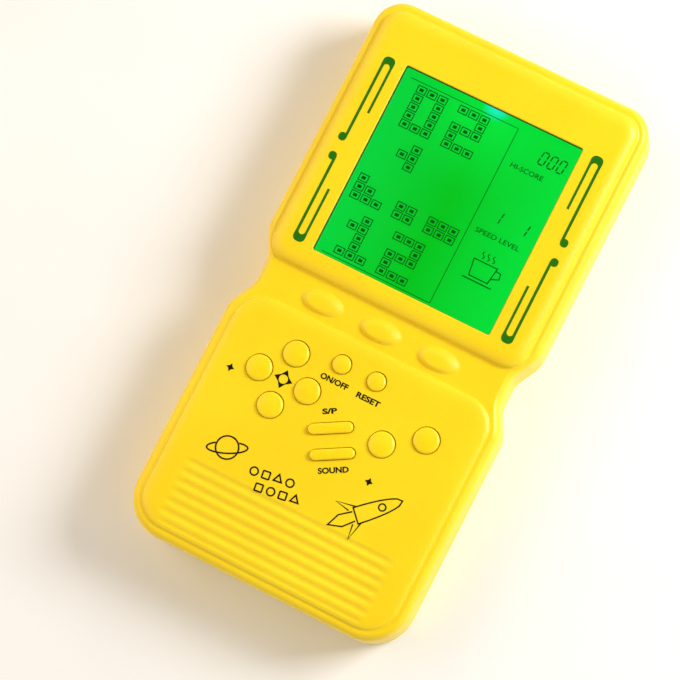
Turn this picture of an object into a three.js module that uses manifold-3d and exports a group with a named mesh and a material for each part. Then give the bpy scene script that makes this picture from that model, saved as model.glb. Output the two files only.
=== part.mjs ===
/**
 * Handheld LCD game: a yellow moulded case, waisted in the middle, with a backlit screen in a
 * raised frame above a keypad. Two AA cells lie behind the ribs at its foot.
 *
 * Millimetres. X runs to the right across the face, Y towards the top edge and Z out of the face.
 * The game lies on its back, and the origin is in the middle of its back.
 */
import * as THREE from 'three';
import Module from 'manifold-3d';
import { LoftGeometry } from 'three/addons/geometries/LoftGeometry.js';
import { mergeVertices } from 'three/addons/utils/BufferGeometryUtils.js';

const wasm = await Module();
wasm.setup();

// ---------------------------------------------------------------- driving dimensions

// The case, seen from the front.
const BODY = { halfWidth: 47, halfLength: 92, footRadius: 13.5, headRadius: 9.5 };
const WAIST = { y: -3.6, halfWidth: 42.4, flat: 5, ramp: 12.5 };
const WALL = 2;

// Heights above the back.
const SEAM = { rear: 12.9, front: 13.1 };
const BASE_TOP = 23.4;
const PAD_TOP = 24.6;
const FRAME_TOP = 26;
const BOARD = { bottom: 13.2, top: 14.8 };

// The outer faces as levels: how far in from the outline, and how high.
const FACE_LEVELS = [[0, SEAM.front], [0, 20.6], [0.35, 21.9], [1.1, 22.9], [2.3, BASE_TOP]];
const FRAME_LEVELS = [[0, 22], [0, BASE_TOP], [0.9, 24], [1.4, 24.9], [2.6, 25.6], [5.2, FRAME_TOP]];
const PAD_LEVELS = [[0, 22], [0, BASE_TOP], [0.8, 23.8], [2.2, 24.3], [4.8, PAD_TOP]];
const BACK_LEVELS = [[3.2, 0], [1.5, 0.5], [0.5, 1.7], [0, 3.4], [0, SEAM.rear]];

// The raised screen frame and the raised keypad, each by its foot.
const FRAME = { halfWidth: 44.5, bottom: 1.4, top: 89.5, radius: 7 };
const PAD = { halfWidth: 44.5, bottom: -89.5, top: -9.6, footRadius: 11, headRadius: 10.4 };

// The screen and the stack of sheets and glasses behind it.
const SCREEN = { halfWidth: 30.5, halfHeight: 32.25, y: 41.1 };
const GLASS = { halfWidth: 33, halfHeight: 35, ledge: 4 };
const POCKET = { halfWidth: 35.7, bottom: -0.3, top: 78.5, ceiling: 22.1 };
const LAYERS = {
  reflector: [16.1, 16.3],
  lightGuide: [16.4, 18.8],
  diffuser: [18.9, 19.2],
  rearPolarizer: [19.4, 19.6],
  rearGlass: [19.7, 20.7],
  frontGlass: [20.8, 21.8],
  frontPolarizer: [21.9, 22.1],
  window: [22.3, 23.5],
};
const LIGHT_GUIDE = { halfWidth: 32, bottom: -33.6, top: 32.6 };
const LED = { x: 0.5, halfWidth: 1.7, bottom: 32.9, top: 34.6 };
const TRAY = { gap: 0.3, top: 35.3, rim: 1.7, front: 21.8 };
const ZEBRA = { halfWidth: 30, bottom: -38.4, top: -36.2 };

// Three oval bumps moulded between the screen and the keypad.
const BUMP = { pitch: 20, y: -4.4, halfWidth: 6.8, halfHeight: 3.3, rise: 1.5 };

// Seven grooves across the foot of the face.
const GROOVE = { count: 7, first: -66.5, pitch: 3.38, halfLength: 36, halfWidth: 1.2, depth: 0.5 };

// Keys: travel, clearance in their holes, and the levels that they all share.
const KEY_GAP = 0.3;
const KEY = { top: 25.9, shoulder: 25.1, flangeTop: 22.3, flangeBottom: 21.1, foot: 18.5, lip: 1.05 };
const PAD_KEY_RADIUS = 4.1;
const SMALL_KEY_RADIUS = 2.95;
const BAR_KEY = { halfLength: 7, halfWidth: 1.7 };
const SLANT = THREE.MathUtils.degToRad(29.5);
const CROSS = { x: -20.15, y: -31.1, reachX: 8.35, reachY: 8.85 };
const FUNCTION_Y = -19;

const ROUND_KEYS = [
  { name: 'key_up', x: CROSS.x, y: CROSS.y + CROSS.reachY, radius: PAD_KEY_RADIUS },
  { name: 'key_down', x: CROSS.x, y: CROSS.y - CROSS.reachY, radius: PAD_KEY_RADIUS },
  { name: 'key_left', x: CROSS.x - CROSS.reachX, y: CROSS.y, radius: PAD_KEY_RADIUS },
  { name: 'key_right', x: CROSS.x + CROSS.reachX, y: CROSS.y, radius: PAD_KEY_RADIUS },
  { name: 'key_power', x: -6, y: FUNCTION_Y, radius: SMALL_KEY_RADIUS },
  { name: 'key_reset', x: 6, y: FUNCTION_Y, radius: SMALL_KEY_RADIUS },
  { name: 'key_rotate', x: 16.2, y: -35.5, radius: PAD_KEY_RADIUS },
  { name: 'key_drop', x: 27.9, y: -28.3, radius: PAD_KEY_RADIUS },
];
const BAR_KEYS = [
  { name: 'key_start_pause', x: -0.1, y: -38 },
  { name: 'key_sound', x: 4, y: -44.9 },
];

// Silicone mats: a thin sheet on the board, with one dome under each key.
const MAT = { bottom: 14.9, top: 15.9, domeTop: 18.3, domeRadius: 3.2, tipRadius: 2.3 };

// The battery bay, opened from the back, and its sliding door.
const BAY = { halfWidth: 30, bottom: -87.5, top: -56.5, floor: 2.3, ceiling: 18.2, wall: 1.5 };
const BAY_SIDE_WALL = 3;
const DOOR = { halfWidth: 29.7, top: -55.8, back: 0.2, front: 2 };
const DOOR_LIP = { halfWidth: 32, inner: -90.1, top: 8 };
const RAIL = { inner: 28.5, outer: 31.4, bottom: 2.5, top: 3.2, from: -84, to: -58 };
const LATCH = { halfWidth: 4, from: -60, to: -54, rootLength: 3, play: 0.5 };
const DOOR_GAP = 0.3;

// AA cells, lying across the case.
const CELL = { radius: 7.25, bodyLength: 49.5, length: 50.5, nubRadius: 2.75, z: 10.6 };
const CELL_Y = [-64.7, -80];
const CELL_SHIFT = 2.3;
const CONTACT = { x: 29.45, thickness: 0.5, bottom: 5.5, top: 15, halfWidth: 4.8 };
const SOLDER_TAB = { halfWidth: 1.5, top: 20.2, slotFrom: 28.9, slotPlay: 0.7 };
const SPRING = { wire: 0.4, wide: 4.4, narrow: 3, turns: 3.5, length: 6.1 };

// Screws.
const CASE_SCREWS = [[-38, 83], [38, 83], [-37.5, -4], [37.5, -4], [-39, -79], [39, -79]];
const CASE_SCREW = {
  headRadius: 2.5, headFrom: 5.5, seat: 7.4, shankRadius: 1.3, tip: 19, boreTop: 19.5,
};
const BOARD_SCREWS = [[-38.4, 66], [38.4, 66], [-34, -48], [34, -48]];
const BOARD_SCREW = {
  headRadius: 2.2, headFrom: 11.6, seat: 13.1, shankRadius: 1.1, tip: 18.5, boreTop: 19,
};
const BOSS = { rear: 4.2, front: 3.2, board: 2.6, rearBore: 1.6, frontBore: 1.5, boardBore: 1.3 };
const COUNTERBORE = { radius: 2.9, top: 7.5 };

// The loudspeaker, behind its sound holes near the top of the back.
const SPEAKER = { x: 0, y: 50, radius: 14 };
const SOUND_HOLE = { radius: 0.85, rings: [0, 4.2, 8.4] };

const WIRE_RADIUS = 0.5;

// Cutters run past the face by this much, and the hollow starts this far below the seam.
const OVERRUN = 2;
const BELOW_SEAM = SEAM.front - 1;

// ---------------------------------------------------------------- finishes

function finish(color, roughness, metalness = 0) {
  return new THREE.MeshStandardMaterial({ color, roughness, metalness });
}

const YELLOW = finish(0xfbd81f, 0.38);
const KEY_YELLOW = finish(0xfcdc22, 0.34);
const CLEAR = finish(0xe6f2ea, 0.05);
const GLASS_FINISH = finish(0xcfe6d6, 0.05);
const FILM = finish(0x9aa79b, 0.35);
const WHITE_FILM = finish(0xf2f2ee, 0.6);
const LIGHT_GREEN = finish(0x2fe06a, 0.3);
const WHITE_PLASTIC = finish(0xe9e7df, 0.5);
const RUBBER = finish(0x8f9093, 0.75);
const BOARD_BROWN = finish(0xb98a4e, 0.55);
const BLACK_RESIN = finish(0x151515, 0.35);
const BLACK_PLASTIC = finish(0x1c1c1e, 0.5);
const PAPER = finish(0x2c2a28, 0.8);
const STEEL = finish(0xb9bcc0, 0.35, 1);
const NICKEL = finish(0xc9c7bf, 0.28, 1);
const CELL_WRAP = finish(0x2f6fb0, 0.35);
const RESISTOR_TAN = finish(0xd3b183, 0.5);
const RED_SLEEVE = finish(0xc1272d, 0.5);
const BLACK_SLEEVE = finish(0x1b1b1b, 0.5);

// ---------------------------------------------------------------- outlines, counter-clockwise

const QUARTER = Math.PI / 2;

function arc(x, y, radius, from, steps) {
  return new THREE.EllipseCurve(x, y, radius, radius, from, from + QUARTER).getPoints(steps);
}

function circle(radius, segments) {
  const points = new THREE.EllipseCurve(0, 0, radius, radius).getPoints(segments);
  return points.slice(0, segments);
}

function roundedRect({ halfWidth, bottom, top, footRadius, headRadius }, steps = 5) {
  const foot = halfWidth - footRadius;
  const head = halfWidth - headRadius;
  return [
    ...arc(foot, bottom + footRadius, footRadius, -QUARTER, steps),
    ...arc(head, top - headRadius, headRadius, 0, steps),
    ...arc(-head, top - headRadius, headRadius, QUARTER, steps),
    ...arc(-foot, bottom + footRadius, footRadius, 2 * QUARTER, steps),
  ];
}

/** A slot with round ends, lying along X. */
function stadium(halfLength, radius, steps = 4) {
  const end = halfLength - radius;
  return [
    ...arc(end, 0, radius, -QUARTER, steps).slice(0, steps),
    ...arc(end, 0, radius, 0, steps),
    ...arc(-end, 0, radius, QUARTER, steps).slice(0, steps),
    ...arc(-end, 0, radius, 2 * QUARTER, steps),
  ];
}

/** The case's half width at a height y: full above and below, narrower at the waist. */
function halfWidthAt(y) {
  const t = (Math.abs(y - WAIST.y) - WAIST.flat / 2) / WAIST.ramp;
  const swell = THREE.MathUtils.smoothstep(t, 0, 1);
  return THREE.MathUtils.lerp(WAIST.halfWidth, BODY.halfWidth, swell);
}

function bodyOutline() {
  const { halfWidth, halfLength, footRadius, headRadius } = BODY;
  const reach = WAIST.flat / 2 + WAIST.ramp;
  const steps = 14;
  const waist = [];
  for (let i = 0; i <= steps; i++) {
    const y = WAIST.y + reach * (2 * i / steps - 1);
    waist.push(new THREE.Vector2(halfWidthAt(y), y));
  }
  const right = [
    ...arc(halfWidth - footRadius, footRadius - halfLength, footRadius, -QUARTER, 6),
    ...waist,
    ...arc(halfWidth - headRadius, halfLength - headRadius, headRadius, 0, 5),
  ];
  const left = right.map((p) => new THREE.Vector2(-p.x, p.y)).reverse();
  return [...right, ...left];
}

/** The same outline, moved inwards by a distance. */
function inset(outline, distance) {
  const inward = (from, to) => new THREE.Vector2(from.y - to.y, to.x - from.x).normalize();
  return outline.map((point, i) => {
    const before = inward(outline.at(i - 1), point);
    const after = inward(point, outline[(i + 1) % outline.length]);
    const share = distance / (1 + before.dot(after));
    return before.add(after).multiplyScalar(share).add(point);
  });
}

const BODY_OUTLINE = bodyOutline();
const FRAME_OUTLINE = roundedRect({ ...FRAME, footRadius: FRAME.radius, headRadius: FRAME.radius });
const PAD_OUTLINE = roundedRect(PAD);

// ---------------------------------------------------------------- solids

function toSolid(geometry) {
  const bare = new THREE.BufferGeometry().copy(geometry);
  bare.deleteAttribute('normal');
  bare.deleteAttribute('uv');
  const merged = mergeVertices(bare, 1e-4);
  const vertProperties = new Float32Array(merged.attributes.position.array);
  const triVerts = new Uint32Array(merged.index.array);
  return new wasm.Manifold(new wasm.Mesh({ numProp: 3, vertProperties, triVerts }));
}

function toGeometry(solid) {
  const { vertProperties, triVerts } = solid.getMesh();
  const geometry = new THREE.BufferGeometry();
  geometry.setAttribute('position', new THREE.BufferAttribute(vertProperties, 3));
  geometry.setIndex(new THREE.BufferAttribute(triVerts, 1));
  geometry.computeVertexNormals();
  return geometry;
}

/** A solid through one outline at several levels, each level an [inset, z] pair. */
function lofted(outline, levels) {
  const sections = levels.map(([distance, z]) => (
    inset(outline, distance).map((p) => new THREE.Vector3(p.x, p.y, z))
  ));
  return toSolid(new LoftGeometry(sections, { capStart: true, capEnd: true }));
}

function box(x0, x1, y0, y1, z0, z1) {
  const geometry = new THREE.BoxGeometry(x1 - x0, y1 - y0, z1 - z0);
  return toSolid(geometry.translate((x0 + x1) / 2, (y0 + y1) / 2, (z0 + z1) / 2));
}

/** An upright rod. */
function rod(x, y, z0, z1, radius, segments = 12) {
  const geometry = new THREE.CylinderGeometry(radius, radius, z1 - z0, segments);
  return toSolid(geometry.rotateX(QUARTER).translate(x, y, (z0 + z1) / 2));
}

/** A solid turned about the Z axis, from [radius, z] pairs that rise on its outer side. */
function turned(profile, segments = 20) {
  const points = profile.map(([radius, z]) => new THREE.Vector2(radius, z));
  return new THREE.LatheGeometry(points, segments).rotateX(QUARTER);
}

/** A round cord along a list of points, with an even number of steps. */
function cord(points, radius, steps, sides = 6) {
  const path = new THREE.CatmullRomCurve3(points);
  const section = new THREE.Shape(circle(radius, sides));
  return new THREE.ExtrudeGeometry(section, { steps, bevelEnabled: false, extrudePath: path });
}

function vectors(rows) {
  return rows.map((row) => new THREE.Vector3(...row));
}

function piece(name, shape, material, x = 0, y = 0, turn = 0) {
  const geometry = shape.isBufferGeometry ? shape : toGeometry(shape);
  const mesh = new THREE.Mesh(geometry, material);
  mesh.name = name;
  mesh.position.set(x, y, 0);
  mesh.rotation.z = turn;
  return mesh;
}

function group(...pieces) {
  return new THREE.Group().add(...pieces);
}

// ---------------------------------------------------------------- case

function barKeySlot(key, z0, z1) {
  const outline = stadium(BAR_KEY.halfLength + KEY_GAP, BAR_KEY.halfWidth + KEY_GAP);
  const slot = lofted(outline, [[0, z0], [0, z1]]);
  return slot.rotate([0, 0, THREE.MathUtils.radToDeg(SLANT)]).translate([key.x, key.y, 0]);
}

function bump(x) {
  const sunk = 0.4;
  const dome = new THREE.SphereGeometry(1, 20, 8);
  dome.rotateX(QUARTER).scale(BUMP.halfWidth, BUMP.halfHeight, BUMP.rise + sunk);
  return toSolid(dome.translate(x, BUMP.y, BASE_TOP - sunk));
}

function groove(y) {
  const { halfLength, halfWidth, depth } = GROOVE;
  const section = new THREE.Shape([
    new THREE.Vector2(-halfWidth, PAD_TOP + 0.1),
    new THREE.Vector2(-halfWidth / 2, PAD_TOP - depth),
    new THREE.Vector2(halfWidth / 2, PAD_TOP - depth),
    new THREE.Vector2(halfWidth, PAD_TOP + 0.1),
  ]);
  const bar = new THREE.ExtrudeGeometry(section, { depth: 2 * halfLength, bevelEnabled: false });
  return toSolid(bar.rotateX(QUARTER).rotateZ(QUARTER).translate(-halfLength, y, 0));
}

function frontSkin() {
  let skin = lofted(BODY_OUTLINE, FACE_LEVELS)
    .add(lofted(FRAME_OUTLINE, FRAME_LEVELS))
    .add(lofted(PAD_OUTLINE, PAD_LEVELS));
  for (const side of [-1, 0, 1]) skin = skin.add(bump(side * BUMP.pitch));
  return skin;
}

/** The room inside the front shell, under its base, its screen frame and its keypad. */
function frontHollow() {
  const frameInset = WALL + 1.8;
  const padInset = WALL + 1;
  const shoulderInset = WALL + 1.6;
  const frameCeiling = FRAME_TOP - 2.2;
  const padCeiling = PAD_TOP - WALL;
  const { halfWidth, bottom, top, ceiling } = POCKET;
  const base = [[WALL, BELOW_SEAM], [WALL, 19.6], [shoulderInset, BASE_TOP - WALL]];
  return lofted(BODY_OUTLINE, base)
    .add(lofted(FRAME_OUTLINE, [[frameInset, BELOW_SEAM], [frameInset, frameCeiling]]))
    .add(lofted(PAD_OUTLINE, [[padInset, BELOW_SEAM], [padInset, padCeiling]]))
    .add(box(-halfWidth, halfWidth, bottom, top, BELOW_SEAM, ceiling));
}

function frontShell() {
  const skin = frontSkin();
  const over = FRAME_TOP + OVERRUN;
  const keyFloor = KEY.flangeBottom - 0.1;
  let shell = skin.subtract(frontHollow());
  for (const [x, y] of CASE_SCREWS) {
    shell = shell.add(rod(x, y, SEAM.front, FRAME_TOP, BOSS.front).intersect(skin));
  }
  for (const [x, y] of BOARD_SCREWS) {
    shell = shell.add(rod(x, y, BOARD.top + 0.1, FRAME_TOP, BOSS.board).intersect(skin));
  }
  for (const [x, y] of CASE_SCREWS) {
    shell = shell.subtract(rod(x, y, BELOW_SEAM, CASE_SCREW.boreTop, BOSS.frontBore));
  }
  for (const [x, y] of BOARD_SCREWS) {
    shell = shell.subtract(rod(x, y, BELOW_SEAM, BOARD_SCREW.boreTop, BOSS.boardBore));
  }

  const { halfWidth, halfHeight, y } = SCREEN;
  shell = shell.subtract(box(-halfWidth, halfWidth, y - halfHeight, y + halfHeight, 20, over));
  for (const key of ROUND_KEYS) {
    shell = shell.subtract(rod(key.x, key.y, keyFloor, over, key.radius + KEY_GAP, 24));
  }
  for (const key of BAR_KEYS) shell = shell.subtract(barKeySlot(key, keyFloor, over));
  for (let i = 0; i < GROOVE.count; i++) {
    shell = shell.subtract(groove(GROOVE.first - i * GROOVE.pitch));
  }
  return shell;
}

function soundHoles() {
  const hole = (x, y) => rod(x, y, -OVERRUN, WALL + OVERRUN, SOUND_HOLE.radius, 8);
  let holes = hole(SPEAKER.x, SPEAKER.y);
  SOUND_HOLE.rings.forEach((radius, ring) => {
    const count = 6 * ring;
    for (let i = 0; i < count; i++) {
      const angle = 2 * Math.PI * i / count;
      const x = SPEAKER.x + radius * Math.cos(angle);
      const y = SPEAKER.y + radius * Math.sin(angle);
      holes = holes.add(hole(x, y));
    }
  });
  return holes;
}

/** A stretch along X, on the right side or mirrored to the left. */
function across(sign, from, to) {
  return sign > 0 ? [from, to] : [-to, -from];
}

const PAST_FOOT = -BODY.halfLength - 1;

/** The space that the battery door fills and slides out through. */
function doorway() {
  const { halfWidth, bottom, top, floor } = BAY;
  const under = floor - 0.1;
  const railTop = RAIL.top + DOOR_GAP;
  const slot = DOOR_LIP.halfWidth + DOOR_GAP;
  const latch = LATCH.halfWidth + LATCH.play;
  let space = box(-halfWidth, halfWidth, PAST_FOOT, DOOR.top + DOOR_GAP, -1, floor)
    .add(box(-slot, slot, PAST_FOOT, DOOR_LIP.inner + DOOR_GAP, -1, DOOR_LIP.top + DOOR_GAP))
    .add(box(-latch, latch, top - 1, LATCH.to + LATCH.play, under, railTop))
    .add(box(-latch, latch, PAST_FOOT, bottom + 1, under, railTop));
  for (const sign of [-1, 1]) {
    const channel = across(sign, RAIL.inner - DOOR_GAP, RAIL.outer + DOOR_GAP);
    space = space.add(box(...channel, PAST_FOOT, RAIL.to + 1, under, railTop));
  }
  return space;
}

function rearShell() {
  const { halfWidth, bottom, top, floor, ceiling, wall } = BAY;
  const side = halfWidth + BAY_SIDE_WALL;
  const above = SEAM.rear + 1;
  let shell = lofted(BODY_OUTLINE, BACK_LEVELS)
    .subtract(lofted(BODY_OUTLINE, [[WALL + 1.4, WALL], [WALL, 4], [WALL, above]]))
    .add(box(-side, side, bottom - wall, top + wall, 1, ceiling + wall))
    .add(rod(SPEAKER.x, SPEAKER.y, 1, 6, SPEAKER.radius + 2, 32))
    .subtract(rod(SPEAKER.x, SPEAKER.y, WALL, 7, SPEAKER.radius + 0.5, 32));
  for (const [x, y] of CASE_SCREWS) shell = shell.add(rod(x, y, 1, SEAM.rear, BOSS.rear, 16));

  shell = shell
    .subtract(box(-halfWidth, halfWidth, bottom, top, floor - 1, ceiling))
    .subtract(doorway());
  const { slotFrom } = SOLDER_TAB;
  const tab = SOLDER_TAB.halfWidth + SOLDER_TAB.slotPlay;
  for (const y of CELL_Y) {
    shell = shell.subtract(box(slotFrom, halfWidth, y - tab, y + tab, ceiling - 1, ceiling + 3));
  }
  for (const [x, y] of CASE_SCREWS) {
    shell = shell.subtract(rod(x, y, -1, COUNTERBORE.top, COUNTERBORE.radius, 16));
    shell = shell.subtract(rod(x, y, 5, above, BOSS.rearBore));
  }
  return shell.subtract(soundHoles());
}

function batteryDoor() {
  const skin = lofted(BODY_OUTLINE, BACK_LEVELS);
  const { halfWidth, top, back, front } = DOOR;
  const lip = DOOR_LIP.halfWidth;
  const latchRoot = LATCH.from + LATCH.rootLength;
  const underside = front - 0.5;
  let door = skin.intersect(box(-halfWidth, halfWidth, PAST_FOOT, top, back, front))
    .add(skin.intersect(box(-lip, lip, PAST_FOOT, DOOR_LIP.inner, back, DOOR_LIP.top)))
    .add(box(-LATCH.halfWidth, LATCH.halfWidth, LATCH.from, LATCH.to, RAIL.bottom, RAIL.top))
    .add(box(-LATCH.halfWidth, LATCH.halfWidth, LATCH.from, latchRoot, underside, RAIL.top));
  for (const sign of [-1, 1]) {
    const web = across(sign, RAIL.inner, halfWidth);
    const rail = across(sign, RAIL.inner, RAIL.outer);
    door = door.add(box(...web, RAIL.from, RAIL.to, underside, RAIL.top));
    door = door.add(box(...rail, RAIL.from, RAIL.to, RAIL.bottom, RAIL.top));
  }
  return door;
}

function screw(name, { headRadius, headFrom, seat, shankRadius, tip }, x, y) {
  const profile = [
    [0, headFrom],
    [headRadius * 0.7, headFrom],
    [headRadius, headFrom + 0.6],
    [headRadius, seat],
    [shankRadius, seat],
    [shankRadius, tip - 1],
    [0, tip],
  ];
  return piece(name, turned(profile, 12), STEEL, x, y);
}

function buildCase() {
  return group(
    piece('front_shell', frontShell(), YELLOW),
    piece('rear_shell', rearShell(), YELLOW),
    piece('battery_door', batteryDoor(), YELLOW),
    ...CASE_SCREWS.map(([x, y], i) => screw(`case_screw_${i + 1}`, CASE_SCREW, x, y)),
  );
}

// ---------------------------------------------------------------- display

/** A flat sheet behind the screen, with its lower edge moved by drop. */
function sheet(name, material, layer, margin, drop = 0) {
  const halfWidth = GLASS.halfWidth - margin;
  const halfHeight = GLASS.halfHeight - margin;
  const bottom = -halfHeight - drop;
  const plate = box(-halfWidth, halfWidth, bottom, halfHeight, ...LAYERS[layer]);
  return piece(name, plate, material, 0, SCREEN.y);
}

function lightGuideSheet(name, material, layer) {
  const { halfWidth, bottom, top } = LIGHT_GUIDE;
  return piece(name, box(-halfWidth, halfWidth, bottom, top, ...LAYERS[layer]), material, 0, SCREEN.y);
}

function led() {
  const [back] = LAYERS.lightGuide;
  return box(LED.x - LED.halfWidth, LED.x + LED.halfWidth, LED.bottom, LED.top, back, back + 2.2);
}

function displayTray() {
  const reach = GLASS.halfWidth + TRAY.gap;
  const bottom = -GLASS.halfHeight - GLASS.ledge - TRAY.gap;
  const { top, rim, front } = TRAY;
  return box(-reach - rim, reach + rim, bottom - rim, top + rim, BOARD.top + 0.1, front)
    .subtract(box(-reach, reach, bottom, top, BOARD.top - 1, front + 1));
}

function zebraConnector() {
  const [, glassBack] = LAYERS.rearGlass;
  return box(-ZEBRA.halfWidth, ZEBRA.halfWidth, ZEBRA.bottom, ZEBRA.top, BOARD.top + 0.1, glassBack);
}

function buildDisplay() {
  return group(
    sheet('display_window', CLEAR, 'window', 0),
    sheet('lcd_front_polarizer', FILM, 'frontPolarizer', 0.8),
    sheet('lcd_front_glass', GLASS_FINISH, 'frontGlass', 0, GLASS.ledge),
    sheet('lcd_rear_glass', GLASS_FINISH, 'rearGlass', 0),
    sheet('lcd_rear_polarizer', FILM, 'rearPolarizer', 0.8),
    sheet('backlight_diffuser', WHITE_FILM, 'diffuser', 0.6),
    lightGuideSheet('light_guide', LIGHT_GREEN, 'lightGuide'),
    lightGuideSheet('backlight_reflector', WHITE_FILM, 'reflector'),
    piece('backlight_led', led(), WHITE_PLASTIC, 0, SCREEN.y),
    piece('lcd_frame', displayTray(), WHITE_PLASTIC, 0, SCREEN.y),
    piece('zebra_connector', zebraConnector(), RUBBER, 0, SCREEN.y),
  );
}

// ---------------------------------------------------------------- circuit board

function mainBoard() {
  const { bottom, top } = BOARD;
  let board = box(-41, 41, 8, 79, bottom, top)
    .add(box(-32, 32, -14, 10, bottom, top))
    .add(box(-38, 38, -54, -13, bottom, top));
  for (const [x, y] of BOARD_SCREWS) board = board.subtract(rod(x, y, bottom - 1, top + 1, 1.5));
  return board;
}

function buildBoard() {
  const blob = [[0, 11.4], [2.6, 11.5], [4.8, 12], [6.2, 12.6], [6.5, 13.1], [0, 13.1]];
  const can = turned([[0, 0], [2.1, 0], [2.5, 0.5], [2.5, 8], [0, 8]], 16).rotateX(-QUARTER);
  const resistor = () => turned([[0, 0], [0.9, 0.3], [1.1, 1.2], [1.1, 4.8], [0.9, 5.7], [0, 6]], 10)
    .rotateX(-QUARTER);
  const capacitor = piece('electrolytic_capacitor', can, BLACK_PLASTIC, -22, -44);
  const resistors = [12, 18].map((x, i) => (
    piece(`resistor_${i + 1}`, resistor(), RESISTOR_TAN, x, -44)
  ));
  capacitor.position.z = 10.4;
  for (const resistorPiece of resistors) resistorPiece.position.z = 11.9;
  return group(
    piece('main_board', mainBoard(), BOARD_BROWN),
    piece('chip_epoxy_blob', turned(blob, 18), BLACK_RESIN, 0, -22),
    capacitor,
    ...resistors,
    ...BOARD_SCREWS.map(([x, y], i) => screw(`board_screw_${i + 1}`, BOARD_SCREW, x, y)),
  );
}

// ---------------------------------------------------------------- keys

function roundKey({ name, x, y, radius }) {
  const { top, shoulder, flangeTop, flangeBottom, foot, lip } = KEY;
  const profile = [
    [0, foot],
    [radius * 0.6, foot],
    [radius * 0.6, flangeBottom],
    [radius + lip, flangeBottom],
    [radius + lip, flangeTop],
    [radius, flangeTop],
    [radius, shoulder],
    [radius * 0.82, top - 0.2],
    [0, top],
  ];
  return piece(name, turned(profile), KEY_YELLOW, x, y);
}

function barKey({ name, x, y }) {
  const { halfLength, halfWidth } = BAR_KEY;
  const { top, shoulder, flangeTop, flangeBottom, foot, lip } = KEY;
  const cap = stadium(halfLength, halfWidth);
  const key = lofted(cap, [[0, flangeTop - 0.5], [0, shoulder], [0.7, top]])
    .add(lofted(stadium(halfLength + lip, halfWidth + lip), [[0, flangeBottom], [0, flangeTop]]))
    .add(box(-3.5, 3.5, -1.2, 1.2, foot, flangeBottom + 0.5));
  return piece(name, key, KEY_YELLOW, x, y, SLANT);
}

/** A thin sheet with a rubber dome at each listed place. */
function mat(sheets, domes) {
  const dome = turned([[0, MAT.top - 0.5], [MAT.domeRadius, MAT.top - 0.5], [MAT.tipRadius, MAT.domeTop],
    [0, MAT.domeTop]], 12);
  let solid = sheets.reduce((sum, sheetSolid) => sum.add(sheetSolid));
  for (const [x, y] of domes) solid = solid.add(toSolid(dome).translate([x, y, 0]));
  return solid;
}

function matSheet(halfWidth, halfHeight) {
  return box(-halfWidth, halfWidth, -halfHeight, halfHeight, MAT.bottom, MAT.top);
}

function buildKeypad() {
  const { reachX, reachY } = CROSS;
  const crossDomes = [[0, reachY], [0, -reachY], [-reachX, 0], [reachX, 0]];
  const [start, sound] = BAR_KEYS;
  const [rotate, drop] = ROUND_KEYS.slice(-2);
  const barSpan = Math.hypot(start.x - sound.x, start.y - sound.y) / 2;
  const pairSpan = Math.hypot(rotate.x - drop.x, rotate.y - drop.y) / 2;
  const pairTurn = Math.atan2(drop.y - rotate.y, drop.x - rotate.x);
  return group(
    ...ROUND_KEYS.map(roundKey),
    ...BAR_KEYS.map(barKey),
    piece('mat_cross', mat([matSheet(13.4, 5), matSheet(5, 13.4)], crossDomes), RUBBER,
      CROSS.x, CROSS.y),
    piece('mat_function', mat([matSheet(9.8, 3.8)], [[-6, 0], [6, 0]]), RUBBER,
      0, FUNCTION_Y),
    piece('mat_option', mat([matSheet(8, 7)], [[0, -barSpan], [0, barSpan]]), RUBBER,
      (start.x + sound.x) / 2, (start.y + sound.y) / 2, SLANT),
    piece('mat_action', mat([matSheet(12.4, 5.6)], [[-pairSpan, 0], [pairSpan, 0]]), RUBBER,
      (rotate.x + drop.x) / 2, (rotate.y + drop.y) / 2, pairTurn),
  );
}

// ---------------------------------------------------------------- power

/** An AA cell along X, its positive nub towards +X. */
function cell(name, y, sign) {
  const { radius, bodyLength, length, nubRadius, z } = CELL;
  const profile = [
    [0, 0],
    [radius - 0.5, 0],
    [radius, 0.5],
    [radius, bodyLength - 0.5],
    [radius - 0.5, bodyLength],
    [nubRadius, bodyLength],
    [nubRadius, length],
    [0, length],
  ];
  const mesh = piece(name, turned(profile).rotateY(sign * QUARTER), CELL_WRAP, 0, y);
  mesh.position.x = sign * (CELL_SHIFT - bodyLength / 2);
  mesh.position.z = z;
  return mesh;
}

/** A conical spring on a plate at x = 0, reaching towards +X. */
function spring() {
  const { wire, wide, narrow, turns, length } = SPRING;
  const steps = Math.round(turns * 9);
  const points = [];
  for (let i = 0; i <= steps; i++) {
    const t = i / steps;
    const angle = 2 * Math.PI * turns * t;
    const radius = THREE.MathUtils.lerp(wide, narrow, t);
    points.push(new THREE.Vector3(0.1 + t * length, radius * Math.cos(angle), radius * Math.sin(angle)));
  }
  return toSolid(cord(points, wire, steps, 6));
}

/** A nickelled plate at one end of the bay; sign is the side it stands on. */
function contactPlate(sign, y0, y1) {
  const half = CONTACT.thickness / 2;
  return box(sign * CONTACT.x - half, sign * CONTACT.x + half, y0, y1, CONTACT.bottom, CONTACT.top);
}

function contactSpring(sign, y) {
  const face = sign * (CONTACT.x - CONTACT.thickness / 2);
  return spring().rotate([0, 0, sign > 0 ? 180 : 0]).translate([face, y, CELL.z]);
}

function contactButton(sign, y) {
  const button = turned([[0, -0.3], [2.2, -0.3], [1.6, 1], [0, 1]], 12).rotateY(-sign * QUARTER);
  return toSolid(button).translate([sign * (CONTACT.x - CONTACT.thickness / 2), y, CELL.z]);
}

function solderTab(y) {
  const half = CONTACT.thickness / 2;
  const { halfWidth, top } = SOLDER_TAB;
  return box(CONTACT.x - half, CONTACT.x + half, y - halfWidth, y + halfWidth, CONTACT.top - 1, top);
}

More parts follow.
